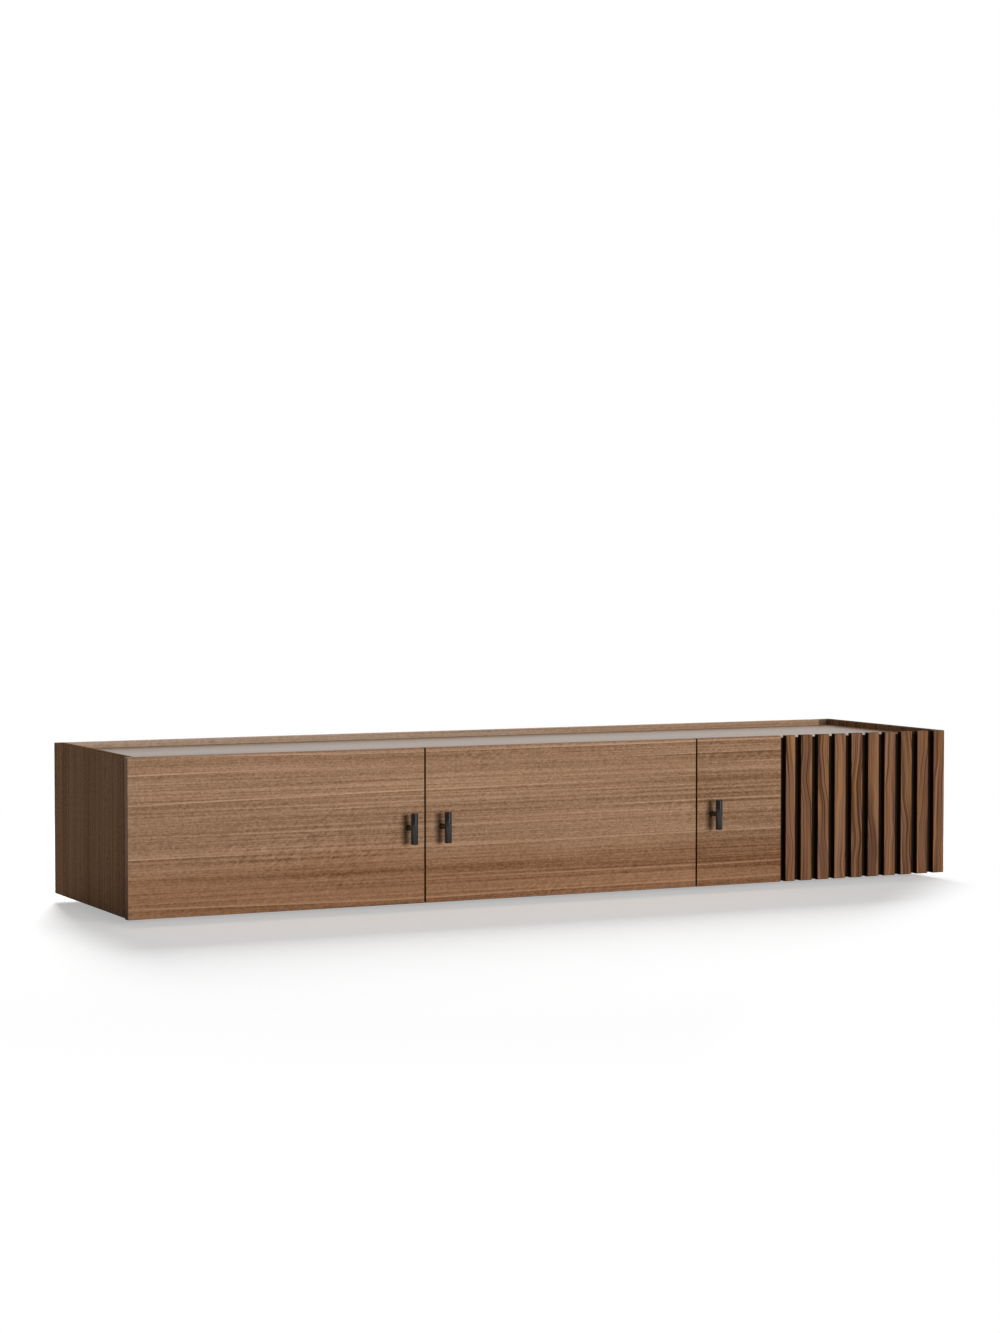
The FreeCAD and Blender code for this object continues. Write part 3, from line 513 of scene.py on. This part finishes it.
def solid_walnut(name, finishes, chance, shaded_gap_sides):
    """Solid walnut with upright figure, cut anew for each slat by a source of chance.

    Its sides towards the gaps, which look along -X or +X, are painted dark: painted shade in place of the
    shadow inside the gaps."""
    material, writer = new_material(name)
    point, end = along_grain(writer, "z", "x")
    tone_shift = chance.uniform(-SLAT_TONE_SPREAD, SLAT_TONE_SPREAD)
    lean = chance.uniform(-SLAT_LEAN, SLAT_LEAN)
    seed = [chance.uniform(0.0, SLAT_LOG) for _ in range(3)]
    along, across, through = writer.split(point)
    sway = writer.noise(writer.vector("ADD", point, seed), SLAT_SWAY)
    aside = writer.maths("MULTIPLY_ADD", along, lean, across)
    aside = writer.maths("MULTIPLY_ADD", sway, SLAT_SWAY_WIDTH, aside)
    bent = writer.vector("ADD", writer.join(along, aside, through), seed)
    ring = writer.maths("MULTIPLY", aside, SLAT_RINGS_A_METRE)
    late = writer.rise(writer.maths("FRACT", ring), LATE_WOOD_START, 1.0)
    clarity = writer.rise(writer.noise(bent, SLAT_RING_CLARITY), *SLAT_RINGS_SHOW)
    late = writer.maths("MULTIPLY", late, clarity)
    tone = writer.maths("MULTIPLY_ADD", late, SLAT_LATE_WOOD_TONE, SLAT_TONE + tone_shift)
    for layer in (SLAT_BANDS, SLAT_LINES):
        tone = writer.shifted(tone, writer.noise(bent, layer), layer.weight)
    fibres = writer.noise(bent, SLAT_FIBRES)
    tone = writer.shifted(tone, fibres, SLAT_FIBRES.weight)
    base = writer.ramp(tone, walnut_colours(finishes.slat_dark, finishes.slat_light))
    hue = writer.noise(writer.vector("ADD", bent, SLAT_HUE_PLACE), SLAT_HUE)
    base = writer.tinted(base, writer.blend(writer.rise(hue, *SLAT_HUES_MEET), SLAT_YELLOW, SLAT_MAUVE))
    base = shaded_ends(writer, base, end, SLAT_END_GRAIN)
    sideways = writer.split(writer.add("ShaderNodeTexCoord").outputs["Normal"])[0]
    # Painted shade: faces looking into a gap take the dark gap colour, standing in for the shadow there.
    for way in shaded_gap_sides:
        inside = writer.maths("GREATER_THAN", writer.maths("MULTIPLY", sideways, way), FACING)
        base = writer.blend(inside, base, finishes.slat_gap_shade)
    rough = writer.uneven_gloss(fibres, finishes.slat_roughness, FIBRE_GLOSS, span=FIBRE_SPAN)
    finish_surface(writer, base, rough, fibres, SLAT_RELIEF,
                   **{"IOR": WOOD_IOR, "Specular IOR Level": SLAT_GLOSS})
    return material


# ---- boards and beech

BOARD_FIBRES = Noise((120.0, 120.0, 900.0), detail=3.0, roughness=0.6)
BOARD_SPECKS = Noise((500.0, 500.0, 500.0), detail=1.0)
BOARD_SPAN = (0.25, 0.75)
BOARD_RELIEF = 0.05 * MILLIMETRE
BEECH_RINGS = Noise((1.5, 70.0, 70.0), detail=3.0)
BEECH_FLECKS = Noise((110.0, 900.0, 900.0), detail=1.0)
BEECH_FLECKS_SHOW = (0.6, 0.7)
BEECH_ROUGHNESS = 0.67


def stained_board(name, tint, roughness, **fixed):
    """A dark coated board with a faint fibre texture."""
    material, writer = new_material(name)
    point = object_point(writer)
    fibres = writer.noise(point, BOARD_FIBRES)
    base = writer.uneven_tint(fibres, tint, 0.7, 1.3, span=BOARD_SPAN)
    rough = writer.uneven_gloss(writer.noise(point, BOARD_SPECKS), roughness, 0.06)
    finish_surface(writer, base, rough, fibres, BOARD_RELIEF, **fixed)
    return material


def planed_beech(name, tint):
    """Unfinished beech with its short brown flecks, the grain along X."""
    material, writer = new_material(name)
    point = object_point(writer)
    rings = writer.noise(point, BEECH_RINGS)
    flecks = writer.rise(writer.noise(point, BEECH_FLECKS), *BEECH_FLECKS_SHOW)
    base = writer.uneven_tint(rings, tint, 0.74, 1.0)
    base = writer.blend(writer.maths("MULTIPLY", flecks, 0.5), base, [0.5 * value for value in tint])
    rough = writer.uneven_gloss(rings, BEECH_ROUGHNESS, 0.05)
    finish_surface(writer, base, rough, flecks, BOARD_RELIEF)
    return material


# ---- metal, plastic and rubber

METAL_GRAIN = Noise((2600.0, 2600.0, 2600.0))
METAL_CLOUDS = Noise((60.0, 60.0, 60.0))
METAL_RELIEF = 0.02 * MILLIMETRE
MOULD_GRAIN = Noise((1800.0, 1800.0, 1800.0), detail=1.0)
MOULD_CLOUDS = Noise((40.0, 40.0, 40.0), detail=1.0)
MOULD_RELIEF = 0.03 * MILLIMETRE


def satin_metal(name, tint, roughness, metallic=1.0, **fixed):
    """Metal or powder coat with fine grain and slightly uneven sheen."""
    material, writer = new_material(name)
    point = object_point(writer)
    grain = writer.noise(point, METAL_GRAIN)
    base = writer.uneven_tint(writer.noise(point, METAL_CLOUDS), tint, 0.85, 1.12)
    rough = writer.uneven_gloss(grain, roughness, 0.05)
    finish_surface(writer, base, rough, grain, METAL_RELIEF, Metallic=metallic, **fixed)
    return material


def moulded(name, tint, roughness):
    """Moulded plastic or rubber with a fine spark texture."""
    material, writer = new_material(name)
    point = object_point(writer)
    grain = writer.noise(point, MOULD_GRAIN)
    base = writer.uneven_tint(writer.noise(point, MOULD_CLOUDS), tint, 0.9, 1.08)
    finish_surface(writer, base, writer.uneven_gloss(grain, roughness, 0.06), grain, MOULD_RELIEF)
    return material


# ---- shaping

MERGE_DISTANCE = 0.001 * MILLIMETRE     # points of one shape that are the same
SEAM_DISTANCE = 0.01 * MILLIMETRE       # points of neighbouring triangles that are the same
SHARP_ANGLE = math.radians(35)
RIM_ANGLE = math.radians(40)


def add_piece(name, shape, material, slot, *replaced):
    """Turn a finished shape into a piece that stands for nodes of the frame and moves with them."""
    bmesh.ops.remove_doubles(shape, verts=shape.verts, dist=MERGE_DISTANCE)
    bmesh.ops.recalc_face_normals(shape, faces=shape.faces)
    mesh = bpy.data.meshes.new(name)
    shape.to_mesh(mesh)
    shape.free()
    mesh.materials.append(material)
    mesh.shade_smooth()
    mesh.set_sharp_from_angle(angle=SHARP_ANGLE)
    piece = bpy.data.objects.new(name, mesh)
    bpy.context.collection.objects.link(piece)
    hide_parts(*replaced)
    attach(piece, body_of(frame["nodes"][replaced[0]])[0])


def turned(profile, sides):
    """A round shape about Z from points of radius and height, which start and end on the axis or meet."""
    shape = bmesh.new()
    points = [shape.verts.new((radius, 0.0, height)) for radius, height in profile]
    edges = [shape.edges.new(pair) for pair in zip(points, points[1:])]
    bmesh.ops.spin(shape, geom=points + edges, axis=(0.0, 0.0, 1.0), cent=(0.0, 0.0, 0.0),
                   angle=math.tau, steps=sides, use_merge=True)
    bmesh.ops.remove_doubles(shape, verts=shape.verts, dist=MERGE_DISTANCE)
    return shape


def is_rim(edge):
    """Whether an edge runs round a flat end or a step of a turned shape."""
    return edge.is_manifold and edge.calc_face_angle() > RIM_ANGLE


def ease_rims(shape, radius, segments):
    """Round the rims of a turned shape."""
    edges = [edge for edge in shape.edges if is_rim(edge)]
    bmesh.ops.bevel(shape, geom=edges, offset=radius, affect="EDGES", segments=segments,
                    profile=0.5, material=-1)


def placed(shape, way, seat):
    """Turn a shape from +Z to look along a direction and move its origin to a seat."""
    turn = Vector(way).to_track_quat("Z", "Y").to_matrix()
    bmesh.ops.rotate(shape, verts=shape.verts, cent=(0.0, 0.0, 0.0), matrix=turn)
    bmesh.ops.translate(shape, verts=shape.verts, vec=seat)
    return shape


def facing_front(shape, low, high):
    """Turn a shape towards the front and put its foot in the middle of the back of a box."""
    return placed(shape, (0.0, -1.0, 0.0), ((low.x + high.x) / 2, high.y, (low.z + high.z) / 2))


def joined(shapes):
    """One shape out of several."""
    whole = bmesh.new()
    for shape in shapes:
        mesh = bpy.data.meshes.new("part")
        shape.to_mesh(mesh)
        shape.free()
        whole.from_mesh(mesh)
        bpy.data.meshes.remove(mesh)
    return whole


def corners(points):
    """The lowest and the highest corner of the box round some points."""
    low = Vector(min(point[axis] for point in points) for axis in range(3))
    high = Vector(max(point[axis] for point in points) for axis in range(3))
    return low, high


def solids(node):
    """The points of each separate solid of a node, from left to right."""
    shape = bmesh.new()
    shape.from_mesh(frame["nodes"][node].data)
    bmesh.ops.remove_doubles(shape, verts=shape.verts, dist=SEAM_DISTANCE)
    left = set(shape.verts)
    found = []
    while left:
        reached = [left.pop()]
        for vert in reached:
            near = [edge.other_vert(vert) for edge in vert.link_edges]
            fresh = [other for other in near if other in left]
            left.difference_update(fresh)
            reached.extend(fresh)
        found.append([vert.co.copy() for vert in reached])
    shape.free()
    return sorted(found, key=lambda points: tuple(corners(points)[0]))


# ---- operators

def give_finish(material, *nodes):
    """Give nodes of the frame a material."""
    for name in nodes:
        for slot in frame["nodes"][name].material_slots:
            slot.material = material


def on_each_door(ending):
    """The names of a piece on the three doors."""
    return [side + ending for side in DOOR_SIDES]


class CONSOLE_OT_carcass_boards(Operator):
    """Veneer the carcass boards and shelves."""

    bl_idname = "console.carcass_boards"
    bl_label = "Carcass boards"

    def execute(self, context):
        finishes = context.scene.console_finishes
        upright = sliced_walnut("Walnut, upright grain", finishes, "z", "y", seed=(0.0, 1.7, 0.4),
                                tone_shift=-0.14, edge_shade=0.4, gloss=0.0)
        level = sliced_walnut("Walnut, level grain", finishes, "x", "y", seed=(3.1, 0.6, 1.9))
        # Painted light: the tone shift and the pale bluish wash lift the rim's colour, in place of light
        # bounced and mirrored onto it from the pale top board.
        rim = sliced_walnut("Walnut, rear rim", finishes, "x", "y", seed=(2.3, 0.2, 1.1),
                            tone_shift=0.3, zones=RIM_ZONES, wash=(1.16, 1.36, 1.58))
        lacquer = {"Coat Weight": 0.8, "Coat Roughness": 0.3}
        top = sliced_walnut("Walnut, lacquered top", finishes, "x", "y", seed=(1.3, 4.6, 0.9),
                            tone_shift=-0.2, wash=(0.86, 0.90, 0.80), **lacquer)
        foil = stained_board("Back board foil", finishes.back_board, roughness=0.6)
        give_finish(upright, "left_side_panel", "right_side_panel", "left_divider", "right_divider")
        give_finish(level, "bottom_panel", *on_each_door("_shelf"))
        give_finish(rim, "rear_rim")
        give_finish(top, "top_panel")
        give_finish(foil, "back_panel")
        return {"FINISHED"}


class CONSOLE_OT_doors(Operator):
    """Veneer the doors, with one figure running across all three."""

    bl_idname = "console.doors"
    bl_label = "Doors"

    def execute(self, context):
        # Painted shade: the darker ends stand in for the shadow in the door gaps; the centre door and the
        # slatted door's plain part keep only 0.3 of their colour there.
        looks = {
            "left_door": {"edge_shade": 0.82},
            "centre_door": {"edge_shade": 0.3},
            "right_door_panel": {"edge_shade": 0.3, "tone_shift": -0.11},
        }
        for node, look in looks.items():
            veneer = sliced_walnut("Walnut, " + node.replace("_", " "), context.scene.console_finishes,
                                   "x", "z", zones=DOOR_ZONES, **look)
            give_finish(veneer, node)
        return {"FINISHED"}


class CONSOLE_OT_slats(Operator):
    """Finish the solid slats and the black board behind them."""

    bl_idname = "console.slats"
    bl_label = "Slats and backing"

    def execute(self, context):
        finishes = context.scene.console_finishes
        chance = random.Random(SLAT_SEED)
        for node in SLATS:
            # The last slat's outer side faces no gap, so only its -X side takes the painted gap shade.
            shaded_gap_sides = (-1.0,) if node == SLATS[-1] else (-1.0, 1.0)
            name = "Walnut, " + node.replace("_", " ")
            give_finish(solid_walnut(name, finishes, chance, shaded_gap_sides), node)
        black = stained_board("Black backing", finishes.backing, roughness=0.85,
                              **{"Specular IOR Level": 0.12})
        give_finish(black, "right_door_backing")
        return {"FINISHED"}


BAR_SIDES = 64
BAR_EASING = 1.0 * MILLIMETRE
POST_SIDES = 48
POST_EASING = 0.4 * MILLIMETRE
COLLAR_WIDTH = 0.9 * MILLIMETRE         # beyond the post
COLLAR_HEIGHT = 1.6 * MILLIMETRE
COLLAR_SLOPE = 1.6 * MILLIMETRE         # height in which the collar narrows to the post


def handle_bar(node):
    """An upright round bar with eased ends."""
    low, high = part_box(node)
    radius = (high.x - low.x) / 2
    shape = bmesh.new()
    bmesh.ops.create_cone(shape, cap_ends=True, segments=BAR_SIDES, radius1=radius, radius2=radius,
                          depth=high.z - low.z)
    ease_rims(shape, BAR_EASING, 3)
    return placed(shape, (0.0, 0.0, 1.0), (low + high) / 2)


def handle_post(node):
    """A round post with a low collar where it meets the door."""
    low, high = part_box(node)
    radius = (high.x - low.x) / 2
    collar = radius + COLLAR_WIDTH
    reach = high.y - low.y
    foot = [(0.0, 0.0), (collar, 0.0), (collar, COLLAR_HEIGHT), (radius, COLLAR_HEIGHT + COLLAR_SLOPE)]
    shape = turned([*foot, (radius, reach), (0.0, reach)], POST_SIDES)
    ease_rims(shape, POST_EASING, 2)
    return facing_front(shape, low, high)


class CONSOLE_OT_handles(Operator):
    """Coat the bar handles and their posts."""

    bl_idname = "console.handles"
    bl_label = "Handles"

    def execute(self, context):
        coat = satin_metal("Satin black coat", context.scene.console_finishes.handle_metal,
                           roughness=0.15, metallic=0.0, **{"Specular IOR Level": 1.0})
        for side in DOOR_SIDES:
            for part, shaped in (("_bar", handle_bar), ("_post", handle_post)):
                node = side + "_handle" + part
                add_piece(side + part, shaped(node), coat, "gunmetal", node)
        return {"FINISHED"}


class CONSOLE_OT_hinges(Operator):
    """Plate the hinge cups, pins, arms and mounting plates."""

    bl_idname = "console.hinges"
    bl_label = "Hinges"

    def execute(self, context):
        nickel = satin_metal("Nickel plate", context.scene.console_finishes.nickel, roughness=0.28)
        give_finish(nickel, "hinge_plates", *on_each_door("_hinge_arms"),
                    *on_each_door("_hinge_cups"), *on_each_door("_hinge_pins"))
        return {"FINISHED"}


SCREW_SIDES = 24
# points of the head's outline as shares of its radius and height
HEAD_DOME = ((0.74, 1.0), (0.93, 0.74), (1.0, 0.35), (1.0, 0.0))
SCREW_TIP = 0.3                # share of the shank's radius
RECESS_REACH = 0.7              # share of the flat crown's radius
RECESS_FLOOR = 0.65             # share of its mouth
RECESS_TILES = 3                # the middle row and column of these make the cross
RIM_REACH = 0.99                # from this share of the head's radius points are on its rim
SHANK_REACH = 0.9               # and up to this share they are on the shank
HEAD_SLACK = 0.1 * MILLIMETRE   # the shank sticks out of the head by more than this


def cross_recess(shape, radius, level, depth):
    """Close the open ring of a screw head with a cap that has a tapered cross-shaped recess."""
    ring = [edge for edge in shape.edges if edge.is_boundary]
    half = RECESS_REACH * radius
    grid = bmesh.ops.create_grid(shape, x_segments=RECESS_TILES, y_segments=RECESS_TILES, size=half,
                                 matrix=Matrix.Translation((0.0, 0.0, level)))
    tiles = {face for vert in grid["verts"] for face in vert.link_faces}
    middle = half / RECESS_TILES
    cross = [tile for tile in tiles if min(map(abs, tile.calc_center_median().xy)) < middle]
    border = {edge for tile in tiles for edge in tile.edges if edge.is_boundary}
    bmesh.ops.bridge_loops(shape, edges=ring + list(border))
    sunk = bmesh.ops.extrude_face_region(shape, geom=cross)["geom"]
    bmesh.ops.delete(shape, geom=[tile for tile in cross if tile.is_valid], context="FACES_ONLY")
    bottom = [item for item in sunk if isinstance(item, bmesh.types.BMVert)]
    bmesh.ops.translate(shape, verts=bottom, vec=(0.0, 0.0, -depth))
    bmesh.ops.scale(shape, verts=bottom, vec=(RECESS_FLOOR, RECESS_FLOOR, 1.0))


def cross_screw(points):
    """A screw with a domed head, as large and in the same place as the solid that the points are of."""
    low, high = corners(points)
    span = high - low
    axis = min(range(3), key=lambda each: abs(span[(each + 1) % 3] - span[(each + 2) % 3]))
    middle = (low + high) / 2
    away = Vector(float(each != axis) for each in range(3))
    reaches = [((point - middle) * away).length for point in points]
    head = max(reaches)
    ends = [point[axis] for point, reach in zip(points, reaches) if reach > RIM_REACH * head]
    thin = [(point[axis], reach) for point, reach in zip(points, reaches) if reach < SHANK_REACH * head]
    shank = max(reach for _, reach in thin)
    outwards = 1.0 if min(ends) > min(level for level, _ in thin) + HEAD_SLACK else -1.0
    height = max(ends) - min(ends)
    tip = height - span[axis]
    dome = [(radius * head, level * height) for radius, level in HEAD_DOME]
    shape = turned([*dome, (shank, 0.0), (shank, tip + shank), (SCREW_TIP * shank, tip), (0.0, tip)],
                   SCREW_SIDES)
    cross_recess(shape, dome[0][0], height, height)
    seat = middle.copy()
    seat[axis] = min(ends) if outwards > 0 else max(ends)
    return placed(shape, Vector(outwards * float(each == axis) for each in range(3)), seat)


class CONSOLE_OT_fixings(Operator):
    """Make the screws with their cross recesses, and plate them, the cams, bolts and shelf pins."""

    bl_idname = "console.fixings"
    bl_label = "Screws, cams and pins"

    def execute(self, context):
        zinc = satin_metal("Zinc plate", context.scene.console_finishes.zinc, roughness=0.34)
        give_finish(zinc, "cam_bolts", "cam_locks", "shelf_pins")
        for node in ("divider_screws", "back_panel_screws", "right_backing_screws", "hinge_plate_screws",
                     "hinge_arm_screws", *on_each_door("_handle_screw"), *on_each_door("_cup_screws")):
            add_piece(node + "_made", joined(map(cross_screw, solids(node))), zinc, "zinc", node)
        return {"FINISHED"}


class CONSOLE_OT_hanging(Operator):
    """Finish the beech cleats and dowels."""

    bl_idname = "console.hanging"
    bl_label = "Cleats and dowels"

    def execute(self, context):
        beech = planed_beech("Planed beech", context.scene.console_finishes.beech)
        give_finish(beech, "wall_cleat", "hanging_cleat", "carcass_dowels")
        return {"FINISHED"}


GROMMET_SIDES = 64
GROMMET_EASING = 0.7 * MILLIMETRE
GROMMET_FLANGE = 4.1 * MILLIMETRE       # beyond the collar that lines the bore
GROMMET_WALL = 3.0 * MILLIMETRE         # of that collar
GROMMET_LIP = 2.0 * MILLIMETRE          # thickness of the flange
BUMPER_SIDES = 24
BUMPER_DOME = ((0.0, 0.0), (1.0, 0.0), (1.0, 0.45), (0.78, 0.85), (0.4, 1.0), (0.0, 1.0))


def cable_grommets():
    """Rings with a rounded flange that line the cable ways."""
    rings = []
    for low, high in map(corners, solids("cable_grommets")):
        flange, depth = (high.x - low.x) / 2, high.y - low.y
        collar = flange - GROMMET_FLANGE
        inside = collar - GROMMET_WALL
        back = depth - GROMMET_LIP
        ring = turned([(inside, 0.0), (collar, 0.0), (collar, back), (flange, back),
                       (flange, depth), (inside, depth), (inside, 0.0)], GROMMET_SIDES)
        ease_rims(ring, GROMMET_EASING, 3)
        rings.append(facing_front(ring, low, high))
    return joined(rings)


def door_bumpers():
    """Soft domed buttons."""
    buttons = []
    for low, high in map(corners, solids("door_bumpers")):
        radius, reach = (high.x - low.x) / 2, high.y - low.y
        button = turned([(out * radius, up * reach) for out, up in BUMPER_DOME], BUMPER_SIDES)
        buttons.append(facing_front(button, low, high))
    return joined(buttons)


class CONSOLE_OT_soft_fittings(Operator):
    """Finish the cable grommets and the door bumpers."""

    bl_idname = "console.soft_fittings"
    bl_label = "Grommets and bumpers"

    def execute(self, context):
        finishes = context.scene.console_finishes
        plastic = moulded("Moulded black plastic", finishes.grommet, roughness=0.5)
        silicone = moulded("Silicone", finishes.silicone, roughness=0.35)
        add_piece("grommets", cable_grommets(), plastic, "black_plastic", "cable_grommets")
        add_piece("bumpers", door_bumpers(), silicone, "silicone", "door_bumpers")
        return {"FINISHED"}


# ---- studio

FLOOR_TONE = 0.9
FLOOR_LIFT = 0.405              # glow that brings the lit floor up to white
FLOOR_BOUNCE = 0.7              # tone of the floor that only lights the console
WHITE_BEYOND = (1.2, 2.2)       # distance from the console over which the floor turns plain white
SHADOW_END = (1.24, 1.50)       # X less Y over which the shadow fades out at the right
LONG_SIDE = 36.0                # of the camera's film, in mm
SIGHT = 200.0                   # how far the camera sees


class Wall(NamedTuple):
    """A white wall that satin surfaces mirror, round a level direction from the console."""

    middle: tuple
    start: float                # cosine of the angle where it begins
    full: float                 # cosine of the angle within which it is white


WHITE_WALLS = (Wall((0.6, 0.8, 0.0), 0.75, 0.95), Wall((0.44, -0.90, 0.0), 0.90, 0.95))


def grey(level):
    """A grey colour."""
    return (level, level, level, 1.0)


def seen_directly(writer):
    """One for rays that show the picture itself, and nought for rays that only light things."""
    path = writer.add("ShaderNodeLightPath").outputs
    return writer.maths("MAXIMUM", path["Is Camera Ray"], path["Is Transmission Ray"])


def seen_in_gloss(writer):
    """The white walls for rays that show what satin surfaces mirror, and nought for others."""
    mirrored = writer.add("ShaderNodeLightPath").outputs["Is Glossy Ray"]
    direction = writer.add("ShaderNodeTexCoord").outputs["Generated"]
    walls = [writer.rise(writer.measure("DOT_PRODUCT", direction, wall.middle), wall.start, wall.full)
             for wall in WHITE_WALLS]
    return writer.maths("MULTIPLY", mirrored, writer.maths("MAXIMUM", *walls))


def floor_material():
    """A pale floor that reads white and keeps the console's shadow."""
    material, writer = new_material("Pale floor")
    point = object_point(writer)
    centre = (CAD_BOX[0] + CAD_BOX[1]) / 2
    away = writer.measure("LENGTH", writer.vector("SUBTRACT", point, (centre.x, centre.y, 0.0)))
    floor_x, floor_y = writer.split(point)[:2]
    aside = writer.maths("SUBTRACT", floor_x, floor_y)
    far = writer.maths("MAXIMUM", writer.rise(away, *WHITE_BEYOND), writer.rise(aside, *SHADOW_END))
    lit = writer.add("ShaderNodeBsdfDiffuse", {"Color": grey(FLOOR_TONE)}).outputs[0]
    lift = writer.add("ShaderNodeEmission", {"Color": grey(1.0), "Strength": FLOOR_LIFT}).outputs[0]
    near = writer.add("ShaderNodeAddShader", {0: lit, 1: lift}).outputs[0]
    white = writer.add("ShaderNodeEmission", {"Color": grey(1.0), "Strength": 1.0}).outputs[0]
    plain = writer.add("ShaderNodeBsdfDiffuse", {"Color": grey(FLOOR_BOUNCE)}).outputs[0]
    surface = writer.either(seen_directly(writer), plain, writer.either(far, near, white))
    writer.add("ShaderNodeOutputMaterial", {"Surface": surface})
    return material


def make_floor(settings):
    """A flat floor a little below the console."""
    shape = bmesh.new()
    bmesh.ops.create_grid(shape, x_segments=1, y_segments=1, size=settings.floor_size / 2)
    bmesh.ops.translate(shape, verts=shape.verts, vec=(0.0, 0.0, CAD_BOX[0].z - settings.floor_drop))
    mesh = bpy.data.meshes.new("floor")
    shape.to_mesh(mesh)
    shape.free()
    mesh.materials.append(floor_material())
    floor = bpy.data.objects.new("floor", mesh)
    bpy.context.collection.objects.link(floor)


def make_backdrop(scene, settings):
    """A world that shows white and lights the console evenly from all round."""
    world = bpy.data.worlds.new("Studio")
    world.use_nodes = True
    world.node_tree.nodes.clear()
    writer = TreeWriter(world.node_tree)
    white = writer.add("ShaderNodeBackground", {"Color": grey(1.0), "Strength": 1.0}).outputs[0]
    soft = writer.add("ShaderNodeBackground", {"Color": grey(1.0), "Strength": settings.ambient}).outputs[0]
    seen = writer.maths("MAXIMUM", seen_directly(writer), seen_in_gloss(writer))
    writer.add("ShaderNodeOutputWorld", {"Surface": writer.either(seen, soft, white)})
    scene.world = world


def aim_light(name, stand, target, size, watts):
    """A rectangular soft light that points at a target and isn't mirrored."""
    lamp = bpy.data.lights.new(name, "AREA")
    lamp.shape = "RECTANGLE"
    lamp.size, lamp.size_y = size
    lamp.energy = watts
    light = bpy.data.objects.new(name, lamp)
    light.location = stand
    light.rotation_euler = (Vector(target) - Vector(stand)).to_track_quat("-Z", "Y").to_euler()
    light.visible_camera = False
    light.visible_glossy = False
    bpy.context.collection.objects.link(light)


def make_camera(scene, settings):
    """The camera, level but for a slight tilt downwards."""
    lens = bpy.data.cameras.new("Camera")
    lens.sensor_width = LONG_SIDE
    lens.lens = settings.camera_lens
    lens.clip_end = SIGHT
    camera = bpy.data.objects.new("Camera", lens)
    camera.location = settings.camera_place
    camera.rotation_euler = (math.pi / 2 - settings.camera_pitch, 0.0, -settings.camera_yaw)
    bpy.context.collection.objects.link(camera)
    scene.camera = camera


class CONSOLE_OT_studio(Operator):
    """Set up the floor, the backdrop, the lights and the camera."""

    bl_idname = "console.studio"
    bl_label = "Studio"

    def execute(self, context):
        settings = context.scene.console_studio
        make_floor(settings)
        make_backdrop(context.scene, settings)
        aim_light("Key light", settings.key_place, settings.key_target, settings.key_size,
                  settings.key_power)
        aim_light("Back light", settings.back_place, settings.back_target, settings.back_size,
                  settings.back_power)
        make_camera(context.scene, settings)
        context.scene.view_settings.view_transform = "Standard"
        return {"FINISHED"}


# ---- the add-on

class CONSOLE_PT_sidebar(Panel):
    """Lists the steps that finish the console."""

    bl_idname = "CONSOLE_PT_sidebar"
    bl_label = "Media console"
    bl_space_type = "VIEW_3D"
    bl_region_type = "UI"
    bl_category = "Console"

    def draw(self, context):
        layout = self.layout
        for step in STEPS:
            layout.operator(step.bl_idname)
        for group in (context.scene.console_finishes, context.scene.console_studio):
            box = layout.box()
            for name in group.__annotations__:
                box.prop(group, name)


STEPS = (
    CONSOLE_OT_carcass_boards,
    CONSOLE_OT_doors,
    CONSOLE_OT_slats,
    CONSOLE_OT_handles,
    CONSOLE_OT_hinges,
    CONSOLE_OT_fixings,
    CONSOLE_OT_hanging,
    CONSOLE_OT_soft_fittings,
    CONSOLE_OT_studio,
)
CLASSES = (ConsoleFinishes, StudioSettings, *STEPS, CONSOLE_PT_sidebar)


def register():
    """Add the settings, the operators and the panel."""
    for each in CLASSES:
        register_class(each)
    bpy.types.Scene.console_finishes = PointerProperty(type=ConsoleFinishes)
    bpy.types.Scene.console_studio = PointerProperty(type=StudioSettings)


def unregister():
    """Take the panel, the operators and the settings away again."""
    del bpy.types.Scene.console_studio
    del bpy.types.Scene.console_finishes
    for each in reversed(CLASSES):
        unregister_class(each)


def main():
    """Finish the whole console."""
    register()
    for step in STEPS:
        group, name = step.bl_idname.split(".")
        getattr(getattr(bpy.ops, group), name)()


if __name__ == "__main__":
    main()
